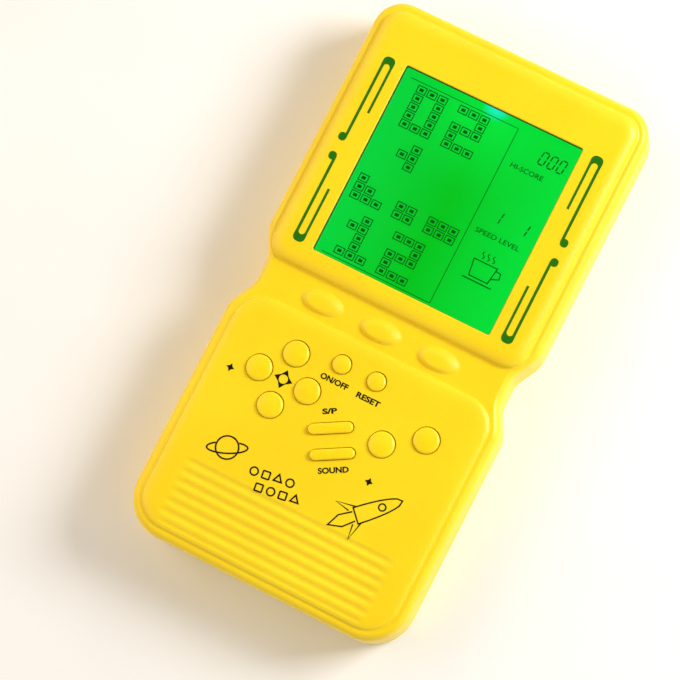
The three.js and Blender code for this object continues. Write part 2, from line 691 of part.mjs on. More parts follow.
function wire(name, material, rows, steps) {
  return piece(name, cord(vectors(rows), WIRE_RADIUS, steps, 6), material);
}

function buildPower() {
  const [upper, lower] = CELL_Y;
  const reach = CONTACT.halfWidth;
  const positive = contactPlate(1, upper - reach, upper + reach)
    .add(contactButton(1, upper))
    .add(solderTab(upper));
  const negative = contactPlate(1, lower - reach, lower + reach)
    .add(contactSpring(1, lower))
    .add(solderTab(lower));
  const link = contactPlate(-1, lower - reach, upper + reach)
    .add(contactSpring(-1, upper))
    .add(contactButton(-1, lower));
  return group(
    cell('battery_1', upper, 1),
    cell('battery_2', lower, -1),
    piece('contact_positive', positive, NICKEL),
    piece('contact_negative', negative, NICKEL),
    piece('contact_link', link, NICKEL),
    wire('wire_battery_positive', RED_SLEEVE, [
      [29.45, -65.5, 21.1], [29.4, -60, 21.1], [29.2, -55.4, 21], [29, -52.9, 19.2], [29, -52.4, 15.1],
    ], 12),
    wire('wire_battery_negative', BLACK_SLEEVE, [
      [29.3, -80.5, 21.1], [27.6, -76.6, 21.2], [26, -70, 21.1], [25.4, -61, 21.1], [25.2, -55.4, 21],
      [25, -52.9, 19.2], [25, -52.4, 15.1],
    ], 16),
  );
}

// ---------------------------------------------------------------- sound

function buildSound() {
  const basket = [
    [12.4, 2.3], [14, 2.3], [14, 3.9], [8.6, 6.4], [7.9, 6.4], [7.9, 5.8], [12.4, 3.5], [12.4, 2.3],
  ];
  const cone = [[0, 4.1], [4, 4.1], [11.9, 2.5], [11.9, 2.9], [4, 4.6], [0, 4.6]];
  const magnet = [[0, 6.7], [7.5, 6.7], [7.5, 9.6], [0, 9.6]];
  const { x, y } = SPEAKER;
  return group(
    piece('speaker_frame', turned(basket, 24), STEEL, x, y),
    piece('speaker_cone', turned(cone, 24), PAPER, x, y),
    piece('speaker_magnet', turned(magnet, 20), STEEL, x, y),
    wire('wire_speaker_a', RED_SLEEVE, [
      [10.9, 50, 6.7], [13.6, 48.4, 8], [17.6, 44.6, 10.2], [19.4, 42.4, 12.7],
    ], 10),
    wire('wire_speaker_b', BLACK_SLEEVE, [
      [10.3, 54.6, 6.9], [14.4, 56, 8.2], [19.6, 54.6, 10.4], [21.6, 52.4, 12.7],
    ], 10),
  );
}

// ---------------------------------------------------------------- the whole game

const game = group(
  buildCase(),
  buildDisplay(),
  buildBoard(),
  buildKeypad(),
  buildPower(),
  buildSound(),
);
game.name = 'handheld_lcd_game';

export default game;
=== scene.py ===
"""The looks of a handheld LCD game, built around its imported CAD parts.

Shapes are worked out in millimetres (X across the face, Y towards the top edge, Z out of the face) and become
metres when a piece is finished. Places come from the CAD nodes' boxes.
"""
import math

import bpy
import numpy as np
from mathutils import Matrix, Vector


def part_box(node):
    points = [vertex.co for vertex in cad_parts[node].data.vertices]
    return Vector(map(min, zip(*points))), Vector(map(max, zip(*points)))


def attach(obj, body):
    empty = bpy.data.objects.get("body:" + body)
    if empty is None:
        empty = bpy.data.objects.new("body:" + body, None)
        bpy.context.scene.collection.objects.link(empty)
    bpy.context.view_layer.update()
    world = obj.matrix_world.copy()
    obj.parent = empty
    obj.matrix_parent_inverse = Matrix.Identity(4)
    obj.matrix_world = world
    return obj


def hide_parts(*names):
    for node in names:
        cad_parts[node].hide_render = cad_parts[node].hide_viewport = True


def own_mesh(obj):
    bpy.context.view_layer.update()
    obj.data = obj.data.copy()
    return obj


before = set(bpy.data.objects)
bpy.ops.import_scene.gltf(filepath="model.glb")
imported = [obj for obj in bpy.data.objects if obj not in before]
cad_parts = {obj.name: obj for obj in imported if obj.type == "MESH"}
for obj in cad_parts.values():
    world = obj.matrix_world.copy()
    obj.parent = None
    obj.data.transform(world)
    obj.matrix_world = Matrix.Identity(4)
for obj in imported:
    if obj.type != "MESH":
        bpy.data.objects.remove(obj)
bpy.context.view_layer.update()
MM = 0.001
QUARTER = math.pi / 2


def node_box(node):
    """Lowest and highest corner of a CAD node, in millimetres."""
    low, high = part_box(node)
    return np.array(low) / MM, np.array(high) / MM


def spot(node):
    """Where the middle of a node lies on the face: [x, y]."""
    low, high = node_box(node)
    return ((low + high) / 2)[:2]


# ---- sizes, in millimetres

FRONT_LOW, FRONT_HIGH = node_box("front_shell")
HALF_WIDTH, HALF_LENGTH, FRAME_TOP = FRONT_HIGH
SEAM_FRONT = FRONT_LOW[2]
SEAM_REAR = SEAM_FRONT - 0.06
BASE_TOP = FRAME_TOP - 2.6
PAD_TOP = FRAME_TOP - 1.4
EDGE = dict(width=2.3, bottom=20.6)
RAISED = dict(root=22, foot=0.9, crest=4.3)
WALL = 2
BACK_EDGE = dict(width=3.2, height=3.4)
TONGUE = dict(outer=2.06, inner=2.8, bottom=11, top=14.2)

# A detail on a surface starts this far under it and, if it is ink, ends a little above it.
SUNK, INK = 0.02, 0.03
PAD_LAYER = (PAD_TOP - SUNK, PAD_TOP + INK)
FRAME_LAYER = (FRAME_TOP - SUNK, FRAME_TOP + INK)
LCD_TOP = node_box("lcd_front_polarizer")[1][2]
LCD_LAYER = (LCD_TOP + 0.005, LCD_TOP + INK)

# The case's outline, the raised screen frame and keypad on it, and the opening over the screen.
FOOT_RADIUS, HEAD_RADIUS = 13.5, 9.5
WAIST_Y, WAIST_HALF_WIDTH, WAIST_FLAT, WAIST_RAMP = -3.6, 42.4, 5, 12.5
SCREEN_FRAME = dict(half_width=44.5, bottom=1.4, top=89.5, foot_radius=7, head_radius=7)
PAD = dict(half_width=44.5, bottom=-89.5, top=-9.6, foot_radius=11, head_radius=10.4)
SCREEN = dict(half_width=30.5, bottom=8.85, top=73.35, foot_radius=0.7, head_radius=0.7)
SCREEN_Y = (SCREEN["bottom"] + SCREEN["top"]) / 2

# The LCD's squares, and the room behind the window for the display.
CELL_PITCH_X, CELL_PITCH_Y = 3.64, 2.96
FIRST_CELL = (-27.0, SCREEN_Y + 27.6)
MODULE_ROOM, MODULE_ROOF = (-35.7, 35.7, -0.3, 78.5), 22.1

# Keys: the gap round each, where it rests in its hole, and the flange that keeps it in.
KEY_GAP = 0.2
KEY_PLAY = np.array([-0.02, -0.09])
ROUND_KEYS = ["key_up", "key_down", "key_left", "key_right", "key_power", "key_reset", "key_rotate",
              "key_drop"]
BAR_KEYS = ["key_start_pause", "key_sound"]
BAR_HALF_LENGTH, BAR_HALF_WIDTH, SLANT = 7, 1.7, math.radians(29.5)
KEY_LIP = 1.05
FLANGE_BOTTOM, FLANGE_TOP, KEY_FOOT = 21.1, 22.3, 18.5
KEY_TOP = node_box("key_up")[1][2]

BUMPS = dict(pitch=20, y=-4.4, half_width=7.4, half_height=3.9, rise=1.5, lean=(-2.5, -1.4))
GROOVES = dict(count=7, first=-66.5, pitch=3.38, half_length=36.5, half_width=1.65, depth=0.42)

CASE_SCREWS = [f"case_screw_{i}" for i in range(1, 7)]
BOARD_SCREWS = [f"board_screw_{i}" for i in range(1, 5)]
CASE_POST = dict(radius=3.2, top=22, bore=1.5, bore_top=19.5)
BOARD_POST = dict(radius=2.6, bottom=14.9, top=22.7, bore=1.3, bore_top=19)
REAR_POST = dict(radius=4.2, bore=1.6, well=2.9, well_top=7.5)
SPEAKER_RADIUS = 14

# The battery bay and its sliding door.
BAY = dict(half_width=30, bottom=-87.5, top=-56.5, floor=2.3, ceiling=18.2, wall=1.5, side=3)
DOOR_GAP = 0.3
DOOR = dict(half_width=29.7, top=-55.8, back=0.2, front=2)
DOOR_LIP = dict(half_width=32, inner=-90.1, top=8)
RAIL = dict(inner=28.5, outer=31.4, foot=-84, head=-58, root=1.5, bottom=2.5, top=3.2)
LATCH = dict(half_width=4, foot=-60, head=-54, root=3, play=0.5)


# ---- outlines, counter-clockwise

def quarter(steps):
    """Angles from zero to a right angle."""
    return QUARTER * np.arange(steps + 1) / steps


def arc(x, y, radius, start, steps):
    angles = start + quarter(steps)
    return np.column_stack([x + radius * np.cos(angles), y + radius * np.sin(angles)])


def circle(radius, sides=64, x=0.0, y=0.0):
    angles = 2 * math.pi * np.arange(sides) / sides
    return np.column_stack([x + radius * np.cos(angles), y + radius * np.sin(angles)])


def rounded_rect(half_width, bottom, top, foot_radius, head_radius, steps=12):
    foot, head = half_width - foot_radius, half_width - head_radius
    return np.vstack([
        arc(foot, bottom + foot_radius, foot_radius, -QUARTER, steps),
        arc(head, top - head_radius, head_radius, 0, steps),
        arc(-head, top - head_radius, head_radius, QUARTER, steps),
        arc(-foot, bottom + foot_radius, foot_radius, 2 * QUARTER, steps),
    ])


def stadium(half_length, radius, steps=12):
    """A slot with round ends, along X."""
    end = half_length - radius
    return np.vstack([
        arc(end, 0, radius, -QUARTER, steps)[:-1],
        arc(end, 0, radius, 0, steps),
        arc(-end, 0, radius, QUARTER, steps)[:-1],
        arc(-end, 0, radius, 2 * QUARTER, steps),
    ])


def case_outline(waist_steps=32, corner_steps=14):
    """The case seen from the front: round corners and a smooth waist between them."""
    reach = WAIST_FLAT / 2 + WAIST_RAMP
    ys = WAIST_Y + reach * np.linspace(-1, 1, waist_steps + 1)
    t = np.clip((np.abs(ys - WAIST_Y) - WAIST_FLAT / 2) / WAIST_RAMP, 0, 1)
    xs = WAIST_HALF_WIDTH + (HALF_WIDTH - WAIST_HALF_WIDTH) * t * t * (3 - 2 * t)
    right = np.vstack([
        arc(HALF_WIDTH - FOOT_RADIUS, FOOT_RADIUS - HALF_LENGTH, FOOT_RADIUS, -QUARTER, corner_steps),
        np.column_stack([xs, ys]),
        arc(HALF_WIDTH - HEAD_RADIUS, HALF_LENGTH - HEAD_RADIUS, HEAD_RADIUS, 0, corner_steps),
    ])
    return np.vstack([right, (right * [-1, 1])[::-1]])


def aside(start, end):
    """Unit vectors to the left of the way from each start to its end."""
    along = end - start
    return np.column_stack([-along[:, 1], along[:, 0]]) / np.linalg.norm(along, axis=1)[:, None]


def inset(outline, distance):
    """The same outline, moved inwards by a distance."""
    before = aside(np.roll(outline, 1, axis=0), outline)
    after = aside(outline, np.roll(outline, -1, axis=0))
    share = distance / (1 + (before * after).sum(axis=1))
    return outline + (before + after) * share[:, None]


def turn(points, angle, x=0.0, y=0.0):
    c, s = math.cos(angle), math.sin(angle)
    return points @ np.array([[c, s], [-s, c]]) + [x, y]


def quarter_round(width, z_from, z_to, steps=6):
    """Levels of a rounded outer edge: [inset, z] from the upright wall to the flat top."""
    return [[width * (1 - math.cos(a)), z_from + (z_to - z_from) * math.sin(a)] for a in quarter(steps)[1:]]


# ---- shapes: (points, faces)

def loft(rings, closed_ends=True):
    """Joins rings of equal length, listed upwards, into a solid."""
    count = len(rings[0])
    points = np.vstack(rings)
    faces = []
    for level in range(len(rings) - 1):
        a, b = level * count, (level + 1) * count
        for i in range(count):
            j = (i + 1) % count
            faces.append([a + i, a + j, b + j, b + i])
    if closed_ends:
        faces.append(list(range(count))[::-1])
        faces.append(list(range(len(points) - count, len(points))))
    return points, faces


def ring(outline, z):
    return np.column_stack([outline, np.full(len(outline), float(z))])


def flat(outline, layer):
    """A thin plate through an outline, between the two heights of a layer."""
    return loft([ring(outline, z) for z in layer])


def prism(outline, levels):
    """A solid through one outline at several [inset, z] levels."""
    return loft([ring(inset(outline, distance), z) for distance, z in levels])


def slab(x0, x1, y0, y1, z0, z1):
    return flat(np.array([[x0, y0], [x1, y0], [x1, y1], [x0, y1]], float), (z0, z1))


def rod(x, y, z0, z1, radius, sides=32):
    return flat(circle(radius, sides, x, y), (z0, z1))


def rods(nodes, z0, z1, radius):
    """An upright rod at the middle of each node."""
    return joined([rod(*spot(node), z0, z1, radius) for node in nodes])


def lathe(profile, x=0.0, y=0.0, sides=64):
    """A solid turned about an upright axis, from [radius, z] pairs that rise on its outer side."""
    return loft([ring(circle(max(radius, 0.01), sides, x, y), z) for radius, z in profile])


def joined(shapes):
    points, faces, start = [], [], 0
    for shape_points, shape_faces in shapes:
        points.append(shape_points)
        faces += [[start + i for i in face] for face in shape_faces]
        start += len(shape_points)
    return np.vstack(points), faces


def moved(shape, angle=0.0, x=0.0, y=0.0, z=0.0):
    points = shape[0].copy()
    points[:, :2] = turn(points[:, :2], angle, x, y)
    points[:, 2] += z
    return points, shape[1]


def mirrored_pair(x0, x1, y0, y1, z0, z1):
    return joined([slab(x0, x1, y0, y1, z0, z1), slab(-x1, -x0, y0, y1, z0, z1)])


# ---- meshes

def to_mesh(shape, name="blank"):
    mesh = bpy.data.meshes.new(name)
    mesh.from_pydata(shape[0].tolist(), [], shape[1])
    mesh.update()
    return mesh


def as_mesh(form, name="blank"):
    """A mesh as it is, or a shape made into one."""
    return form if isinstance(form, bpy.types.Mesh) else to_mesh(form, name)


def shape_of(mesh):
    return np.array([v.co for v in mesh.vertices]), [list(p.vertices) for p in mesh.polygons]


def show(mesh, name="blank"):
    obj = bpy.data.objects.new(name, mesh)
    bpy.context.scene.collection.objects.link(obj)
    return obj


def baked(obj):
    """The object's mesh with its modifiers applied. The object goes."""
    bpy.context.view_layer.update()
    mesh = bpy.data.meshes.new_from_object(obj.evaluated_get(bpy.context.evaluated_depsgraph_get()))
    bpy.data.objects.remove(obj)
    return mesh


def boolean(mesh, form, operation):
    base, tool = show(mesh), show(as_mesh(form))
    modifier = base.modifiers.new("boolean", "BOOLEAN")
    modifier.object = tool
    modifier.operation = operation
    modifier.solver = "MANIFOLD"
    result = baked(base)
    bpy.data.objects.remove(tool)
    return result


def fuse(form, *additions):
    mesh = as_mesh(form)
    for addition in additions:
        mesh = boolean(mesh, addition, "UNION")
    return mesh


def cut(form, *cutters):
    mesh = as_mesh(form)
    for cutter in cutters:
        mesh = boolean(mesh, cutter, "DIFFERENCE")
    return mesh


def finish(name, form, material, replaces=(), body="case", smooth=32):
    """Makes a piece of a shape or mesh: in metres, smooth with crisp edges, and riding on its body."""
    mesh = as_mesh(form, name)
    mesh.transform(Matrix.Scale(MM, 4))
    mesh.polygons.foreach_set("use_smooth", [True] * len(mesh.polygons))
    mesh.set_sharp_from_angle(angle=math.radians(smooth))
    shaped = show(mesh, name + "_shaped")
    weighted = shaped.modifiers.new("weighted", "WEIGHTED_NORMAL")
    weighted.keep_sharp = True
    mesh = baked(shaped)
    mesh.name = name
    mesh.materials.clear()
    mesh.materials.append(material)
    piece = show(mesh, name)
    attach(piece, body)
    if replaces:
        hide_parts(*replaces)
    return piece


# ---- geometry nodes

def run_tree(mesh, tree, **inputs):
    """The mesh after one geometry node tree, with its named inputs set by identifier."""
    host = show(mesh)
    modifier = host.modifiers.new("nodes", "NODES")
    modifier.node_group = tree
    for item in tree.interface.items_tree:
        key = item.name.lower().replace(" ", "_")
        if item.item_type == "SOCKET" and item.in_out == "INPUT" and key in inputs:
            modifier[item.identifier] = inputs[key]
    return baked(host)


def add_node(tree, kind, links=(), **settings):
    """Adds a node, sets its properties or input sockets, and links its inputs: {input: output socket}."""
    node = tree.nodes.new(kind)
    for name, value in settings.items():
        if name in node.bl_rna.properties:
            setattr(node, name, value)
        else:
            node.inputs[name.replace("_", " ")].default_value = value
    for name, source in dict(links).items():
        tree.links.new(source, node.inputs[name])
    return node


def new_tree(name, **inputs):
    """A geometry node tree with a geometry input and output, and named inputs by socket kind."""
    tree = bpy.data.node_groups.new(name, "GeometryNodeTree")
    tree.interface.new_socket("Geometry", in_out="INPUT", socket_type="NodeSocketGeometry")
    for key, kind in inputs.items():
        title = key.replace("_", " ").title()
        tree.interface.new_socket(title, in_out="INPUT", socket_type="NodeSocket" + kind)
    tree.interface.new_socket("Geometry", in_out="OUTPUT", socket_type="NodeSocketGeometry")
    return tree, tree.nodes.new("NodeGroupInput"), tree.nodes.new("NodeGroupOutput")


def close_tree(tree, start, end, instances):
    """Ends a tree in Realize Instances and Set Material."""
    real = add_node(tree, "GeometryNodeRealizeInstances", {"Geometry": instances})
    painted = add_node(tree, "GeometryNodeSetMaterial", {
        "Geometry": real.outputs["Geometry"],
        "Material": start.outputs["Material"],
    })
    tree.links.new(painted.outputs["Geometry"], end.inputs["Geometry"])
    return tree


def row_tree():
    """Repeats the given mesh along a straight row."""
    tree, start, end = new_tree("row_of_copies", count="Int", step="Vector", material="Material")
    line = add_node(tree, "GeometryNodeMeshLine", {
        "Count": start.outputs["Count"],
        "Offset": start.outputs["Step"],
    })
    copies = add_node(tree, "GeometryNodeInstanceOnPoints", {
        "Points": line.outputs["Mesh"],
        "Instance": start.outputs["Geometry"],
    })
    return close_tree(tree, start, end, copies.outputs["Instances"])


def places_tree():
    """Puts a copy of another object's mesh on each point of the given mesh."""
    tree, start, end = new_tree("copies_at_places", part="Object", material="Material")
    part = add_node(tree, "GeometryNodeObjectInfo", {"Object": start.outputs["Part"]})
    copies = add_node(tree, "GeometryNodeInstanceOnPoints", {
        "Points": start.outputs["Geometry"],
        "Instance": part.outputs["Geometry"],
    })
    return close_tree(tree, start, end, copies.outputs["Instances"])


def coil_tree():
    """A conical coil spring, wound about Z from its wide end."""
    tree, start, end = new_tree("coil_spring", turns="Float", wide="Float", narrow="Float", length="Float",
                                wire="Float", material="Material")
    coil = add_node(tree, "GeometryNodeCurveSpiral", {
        "Rotations": start.outputs["Turns"],
        "Start Radius": start.outputs["Wide"],
        "End Radius": start.outputs["Narrow"],
        "Height": start.outputs["Length"],
    }, Resolution=20)
    section = add_node(tree, "GeometryNodeCurvePrimitiveCircle", {"Radius": start.outputs["Wire"]},
                       Resolution=10)
    tube = add_node(tree, "GeometryNodeCurveToMesh", {
        "Curve": coil.outputs["Curve"],
        "Profile Curve": section.outputs["Curve"],
    }, Fill_Caps=True)
    return close_tree(tree, start, end, tube.outputs["Mesh"])


ROW = row_tree()
PLACES = places_tree()
COIL = coil_tree()


def row(shape, count, step):
    return run_tree(to_mesh(shape), ROW, count=count, step=step)


def at_places(form, places, material=None):
    """Copies of a shape or mesh at [x, y] places."""
    part = show(as_mesh(form), "part")
    result = run_tree(to_mesh((ring(places, 0), [])), PLACES, part=part, material=material)
    bpy.data.objects.remove(part)
    return result


# ---- materials

def colour(hexadecimal):
    """An sRGB hex colour as linear RGBA."""
    parts = [int(hexadecimal[i:i + 2], 16) / 255 for i in (0, 2, 4)]
    return [c / 12.92 if c <= 0.04045 else ((c + 0.055) / 1.055) ** 2.4 for c in parts] + [1]


def new_material(name, **sockets):
    """A material with a Principled surface, its sockets set, and Object coordinates ready."""
    material = bpy.data.materials.new(name)
    material.use_nodes = True
    tree = material.node_tree
    surface = tree.nodes["Principled BSDF"]
    for socket, value in sockets.items():
        surface.inputs[socket.replace("_", " ")].default_value = value
    place = add_node(tree, "ShaderNodeTexCoord").outputs["Object"]
    return material, tree, surface, place


def speckle(tree, place, size_mm, detail=3.0):
    """Fine noise, 0 to 1, whose grains are about size_mm across."""
    noise = add_node(tree, "ShaderNodeTexNoise", {"Vector": place}, Scale=1 / (size_mm * MM), Detail=detail)
    return noise.outputs["Fac"]


def shade(tree, surface, factor, low, high, start=0.3, end=0.7):
    """Base colour that runs from low to high as a factor goes from start to end."""
    ramp = add_node(tree, "ShaderNodeValToRGB", {"Fac": factor})
    stops = ramp.color_ramp.elements
    stops[0].position, stops[1].position = start, end
    stops[0].color, stops[1].color = colour(low), colour(high)
    tree.links.new(ramp.outputs["Color"], surface.inputs["Base Color"])


def vary(tree, socket, factor, low, high):
    """A number that follows a 0 to 1 factor between two values."""
    spread = add_node(tree, "ShaderNodeMapRange", {"Value": factor}, To_Min=low, To_Max=high)
    tree.links.new(spread.outputs["Result"], socket)


def roughen(tree, surface, height, depth_mm):
    bump = add_node(tree, "ShaderNodeBump", {"Height": height}, Strength=1.0, Distance=depth_mm * MM)
    tree.links.new(bump.outputs["Normal"], surface.inputs["Normal"])


def textured(name, low, high, patch_mm, gloss=None, grain=None, detail=3.0, **sockets):
    """A surface whose colour drifts in patches, with uneven gloss and a raised grain where they are given.

    gloss is (least roughness, most, size in mm) and grain is (size, depth), both in mm.
    """
    material, tree, surface, place = new_material(name, **sockets)
    shade(tree, surface, speckle(tree, place, patch_mm, detail), low, high)
    if gloss:
        least, most, size = gloss
        vary(tree, surface.inputs["Roughness"], speckle(tree, place, size), least, most)
    if grain:
        size, depth = grain
        roughen(tree, surface, speckle(tree, place, size), depth)
    return material


def plastic(name, low, high, roughness, depth_mm=0.004, **sockets):
    """Moulded plastic: a slow drift of colour, a fine spark-eroded grain and uneven gloss."""
    gloss = roughness - 0.05, roughness + 0.05, 3
    return textured(name, low, high, 28, gloss, (0.35, depth_mm), 2.0, **sockets)


# Light that soaks about a millimetre into yellow ABS comes back orange.
SOFT_DEPTH = dict(Subsurface_Weight=0.25, Subsurface_Radius=(1.0, 0.45, 0.05), Subsurface_Scale=1.2 * MM)


def case_abs():
    """Yellow injection-moulded ABS: warm, even colour with a satin gloss and a fine spark-eroded grain."""
    return plastic("yellow_case_abs", "fad50a", "fddc12", 0.4, IOR=1.53, **SOFT_DEPTH)


def key_abs():
    """Yellow moulded ABS from a smoother tool: the keys catch the light a little more than the case."""
    return plastic("yellow_key_abs", "fbd80c", "fedf14", 0.33, depth_mm=0.002, IOR=1.53, **SOFT_DEPTH)


def clear_acrylic():
    """Polished clear acrylic: nearly invisible, with faint reflections and very fine handling marks."""
    material, tree, surface, place = new_material(
        "clear_acrylic_window", Base_Color=colour("fafdfb"), IOR=1.49, Transmission_Weight=1.0)
    vary(tree, surface.inputs["Roughness"], speckle(tree, place, 9), 0.0, 0.006)
    return material


def lit_screen():
    """LCD over an LED backlight: an even saturated green, brightest below the lamp at its upper edge."""
    material, tree, surface, place = new_material(
        "lit_lcd_film", Base_Color=colour("031003"), Roughness=0.5, Specular_IOR_Level=0.1,
        Emission_Strength=1.0)
    split = add_node(tree, "ShaderNodeSeparateXYZ", {"Vector": place})
    across = add_node(tree, "ShaderNodeMapRange", {"Value": split.outputs["X"]},
                      From_Min=-SCREEN["half_width"] * MM, From_Max=SCREEN["half_width"] * MM)
    ramp = add_node(tree, "ShaderNodeValToRGB", {"Fac": across.outputs["Result"]})
    stops = ramp.color_ramp.elements
    stops[0].color, stops[1].color = colour("06de40"), colour("02ea3c")
    stops.new(0.5).color = colour("01cc1a")
    led = (0.5 * MM, (SCREEN["top"] + 1) * MM, 22 * MM)
    distance = add_node(tree, "ShaderNodeVectorMath", {0: place}, operation="DISTANCE")
    distance.inputs[1].default_value = led
    glow = ramp.outputs["Color"]
    for tint, reach, strength in [("02f040", 0.034, 0.9), ("20fbc8", 0.0056, 1.0)]:
        fall = add_node(tree, "ShaderNodeMapRange", {"Value": distance.outputs["Value"]},
                        interpolation_type="SMOOTHSTEP", From_Min=0.001, From_Max=reach,
                        To_Min=strength, To_Max=0.0)
        blend = add_node(tree, "ShaderNodeMix", {"Factor": fall.outputs["Result"]}, data_type="RGBA")
        tree.links.new(glow, blend.inputs[6])
        blend.inputs[7].default_value = colour(tint)
        glow = blend.outputs[2]
    tree.links.new(glow, surface.inputs["Emission Color"])
    return material


def lcd_segment():
    """Twisted liquid crystal switched on: it blocks the backlight and leaves a dark green."""
    return textured("dark_lcd_segment", "020a03", "031204", 2, Roughness=0.6, Specular_IOR_Level=0.1,
                    Emission_Strength=1.0, Emission_Color=colour("02520f"))


def pad_ink(name, low, high):
    """Pad-printed ink: dense and matt, with slightly uneven cover."""
    return textured(name, low, high, 0.5, grain=(0.15, 0.003), Roughness=0.6, Specular_IOR_Level=0.15)


def zinc_steel():
    """Zinc-plated steel: pale grey metal with a faint blue and fine directional scuffs."""
    return textured("zinc_plated_steel", "a9adb3", "c6c9cd", 2, (0.25, 0.45, 0.4), (0.2, 0.004), Metallic=1.0)


def nickel_plate():
    """Nickel-plated spring steel: bright, slightly warm metal."""
    return textured("nickel_plated_spring_steel", "bdb9ae", "d6d3ca", 3, (0.16, 0.28, 0.8), Metallic=1.0)


def cell_wrap(name, positive):
    """Printed foil wrap of an AA cell: a dark barrel with a copper-coloured band at its positive end."""
    material, tree, surface, place = new_material(name, Metallic=0.6, Roughness=0.32)
    split = add_node(tree, "ShaderNodeSeparateXYZ", {"Vector": place})
    edge = add_node(tree, "ShaderNodeMath", {0: split.outputs["X"]},
                    operation="GREATER_THAN" if positive > 0 else "LESS_THAN")
    edge.inputs[1].default_value = positive * 12.5 * MM
    shade(tree, surface, edge.outputs["Value"], "20252c", "c1783a", 0.4, 0.6)
    roughen(tree, surface, speckle(tree, place, 1.2), 0.003)
    return material


def silicone():
    """Moulded silicone rubber: soft grey, matt, slightly dusty."""
    return textured("grey_silicone_rubber", "858689", "9b9c9f", 4, (0.65, 0.82, 1), (0.3, 0.006),
                    IOR=1.41, Subsurface_Weight=0.1, Subsurface_Radius=(0.001, 0.001, 0.001))


def board_laminate():
    """Phenolic paper laminate: brown board with a fibrous mottle and a satin lacquer."""
    material, tree, surface, place = new_material("phenolic_paper_board", Roughness=0.5, IOR=1.55)
    stretched = add_node(tree, "ShaderNodeMapping", {"Vector": place}, Scale=(1, 6, 1))
    fibre = speckle(tree, stretched.outputs["Vector"], 3, 6)
    shade(tree, surface, fibre, "a97b42", "c2965a")
    roughen(tree, surface, fibre, 0.01)
    return material


def glossy(name, low, high, roughness, **sockets):
    """A smooth dense finish, such as resin, film, sleeve or lacquer, with a little uneven gloss."""
    return textured(name, low, high, 2, (roughness * 0.8, roughness * 1.2, 0.7), (0.4, 0.004), **sockets)


def cone_paper():
    """Pressed black paper: matt with a felted surface."""
    material, tree, surface, place = new_material("pressed_cone_paper", Roughness=0.85)
    felt = speckle(tree, place, 0.25, 8)
    shade(tree, surface, felt, "1f1d1b", "383532")
    roughen(tree, surface, felt, 0.03)
    return material


def table_top():
    """Matt white laminate of the table: almost no pattern, so the game stands out."""
    return textured("matt_white_table", "f6f6f6", "fafafa", 60, detail=2.0,
                    Roughness=0.8, Specular_IOR_Level=0.2)


CASE_ABS = case_abs()
KEY_ABS = key_abs()
ACRYLIC = clear_acrylic()
SCREEN_GLOW = lit_screen()
SEGMENT = lcd_segment()
BLACK_INK = pad_ink("black_pad_ink", "0c0702", "140d05")
GREEN_INK = pad_ink("green_pad_ink", "176400", "1f7402")
ZINC = zinc_steel()
NICKEL = nickel_plate()
WRAP_RIGHT = cell_wrap("aa_cell_wrap_nub_right", 1)
WRAP_LEFT = cell_wrap("aa_cell_wrap_nub_left", -1)
SILICONE = silicone()
BOARD = board_laminate()
PAPER = cone_paper()
GLASS = glossy("coated_lcd_glass", "cfe6d6", "dcf0e2", 0.04, Transmission_Weight=0.9, IOR=1.52)
FILM = glossy("grey_polarizer_film", "8f9c90", "a2ae9f", 0.3, Transmission_Weight=0.5, IOR=1.5)
WHITE_FILM = glossy("white_diffuser_film", "eeeee9", "f7f7f4", 0.6)
GUIDE = glossy("green_lit_light_guide", "2bd664", "39f07a", 0.25, Transmission_Weight=0.4, IOR=1.49)
WHITE_ABS = plastic("off_white_abs", "e4e1d8", "edeae2", 0.5)
RESIN = glossy("black_potting_resin", "101010", "1a1a1a", 0.25, IOR=1.55)
BLACK_SLEEVE = glossy("black_pvc_sleeve", "151515", "202020", 0.45)
RED_SLEEVE = glossy("red_pvc_sleeve", "b52228", "c92f34", 0.45)
LACQUER = glossy("tan_resistor_lacquer", "c9a877", "dcbd8d", 0.4)
WHITE_TABLE = table_top()


# ---- case

def raised_levels(top, share):
    """The slope of a raised face: a hollow foot up to a knee, then a long crest that rolls over."""
    foot, crest = RAISED["foot"], RAISED["crest"]
    knee = BASE_TOP + share * (top - BASE_TOP)
    angles = quarter(9)
    hollow = [[foot * math.sin(a), BASE_TOP - 0.01 + (knee - BASE_TOP) * (1 - math.cos(a))]
              for a in angles[:-1:2]]
    roll = [[foot + crest * (1 - math.cos(a)), knee + (top - knee) * math.sin(a)] for a in angles[1:]]
    return [[0, RAISED["root"]]] + hollow + [[foot, knee]] + roll


def bump(x):
    """An oval bump whose crest leans left and down: steep there, and melting away to the right and up."""
    outline = circle(1, 72) * [BUMPS["half_width"], BUMPS["half_height"]]
    rings = [ring(outline, BASE_TOP - 1)]
    for share in np.linspace(1, 0.02, 15):
        swell = (1 + math.cos(math.pi * share ** 2.4)) / 2
        rings.append(ring(outline * share + (1 - share) * np.array(BUMPS["lean"]),
                          BASE_TOP - 0.02 + (BUMPS["rise"] - 0.1) * swell ** 0.8))
    return moved(loft(rings), x=x, y=BUMPS["y"])


def flared(outline, bottom, surface, flare=0.35):
    """A cutter whose hole has a rounded mouth at a surface."""
    mouth = [[-flare * (1 - math.cos(a)), surface - flare + (flare + 0.002) * math.sin(a)]
             for a in quarter(5)]
    return prism(outline, [[0, bottom]] + mouth + [[-flare, surface + 3]])


def key_hole(key):
    if key in BAR_KEYS:
        outline = turn(stadium(BAR_HALF_LENGTH + KEY_GAP, BAR_HALF_WIDTH + KEY_GAP), SLANT, *spot(key))
    else:
        outline = circle(cap_radius(key) + KEY_GAP, 72, *spot(key))
    return flared(outline, FLANGE_BOTTOM - 0.1, PAD_TOP, 0.15)


def cap_radius(key):
    low, high = node_box(key)
    return (high[0] - low[0]) / 2 - KEY_LIP


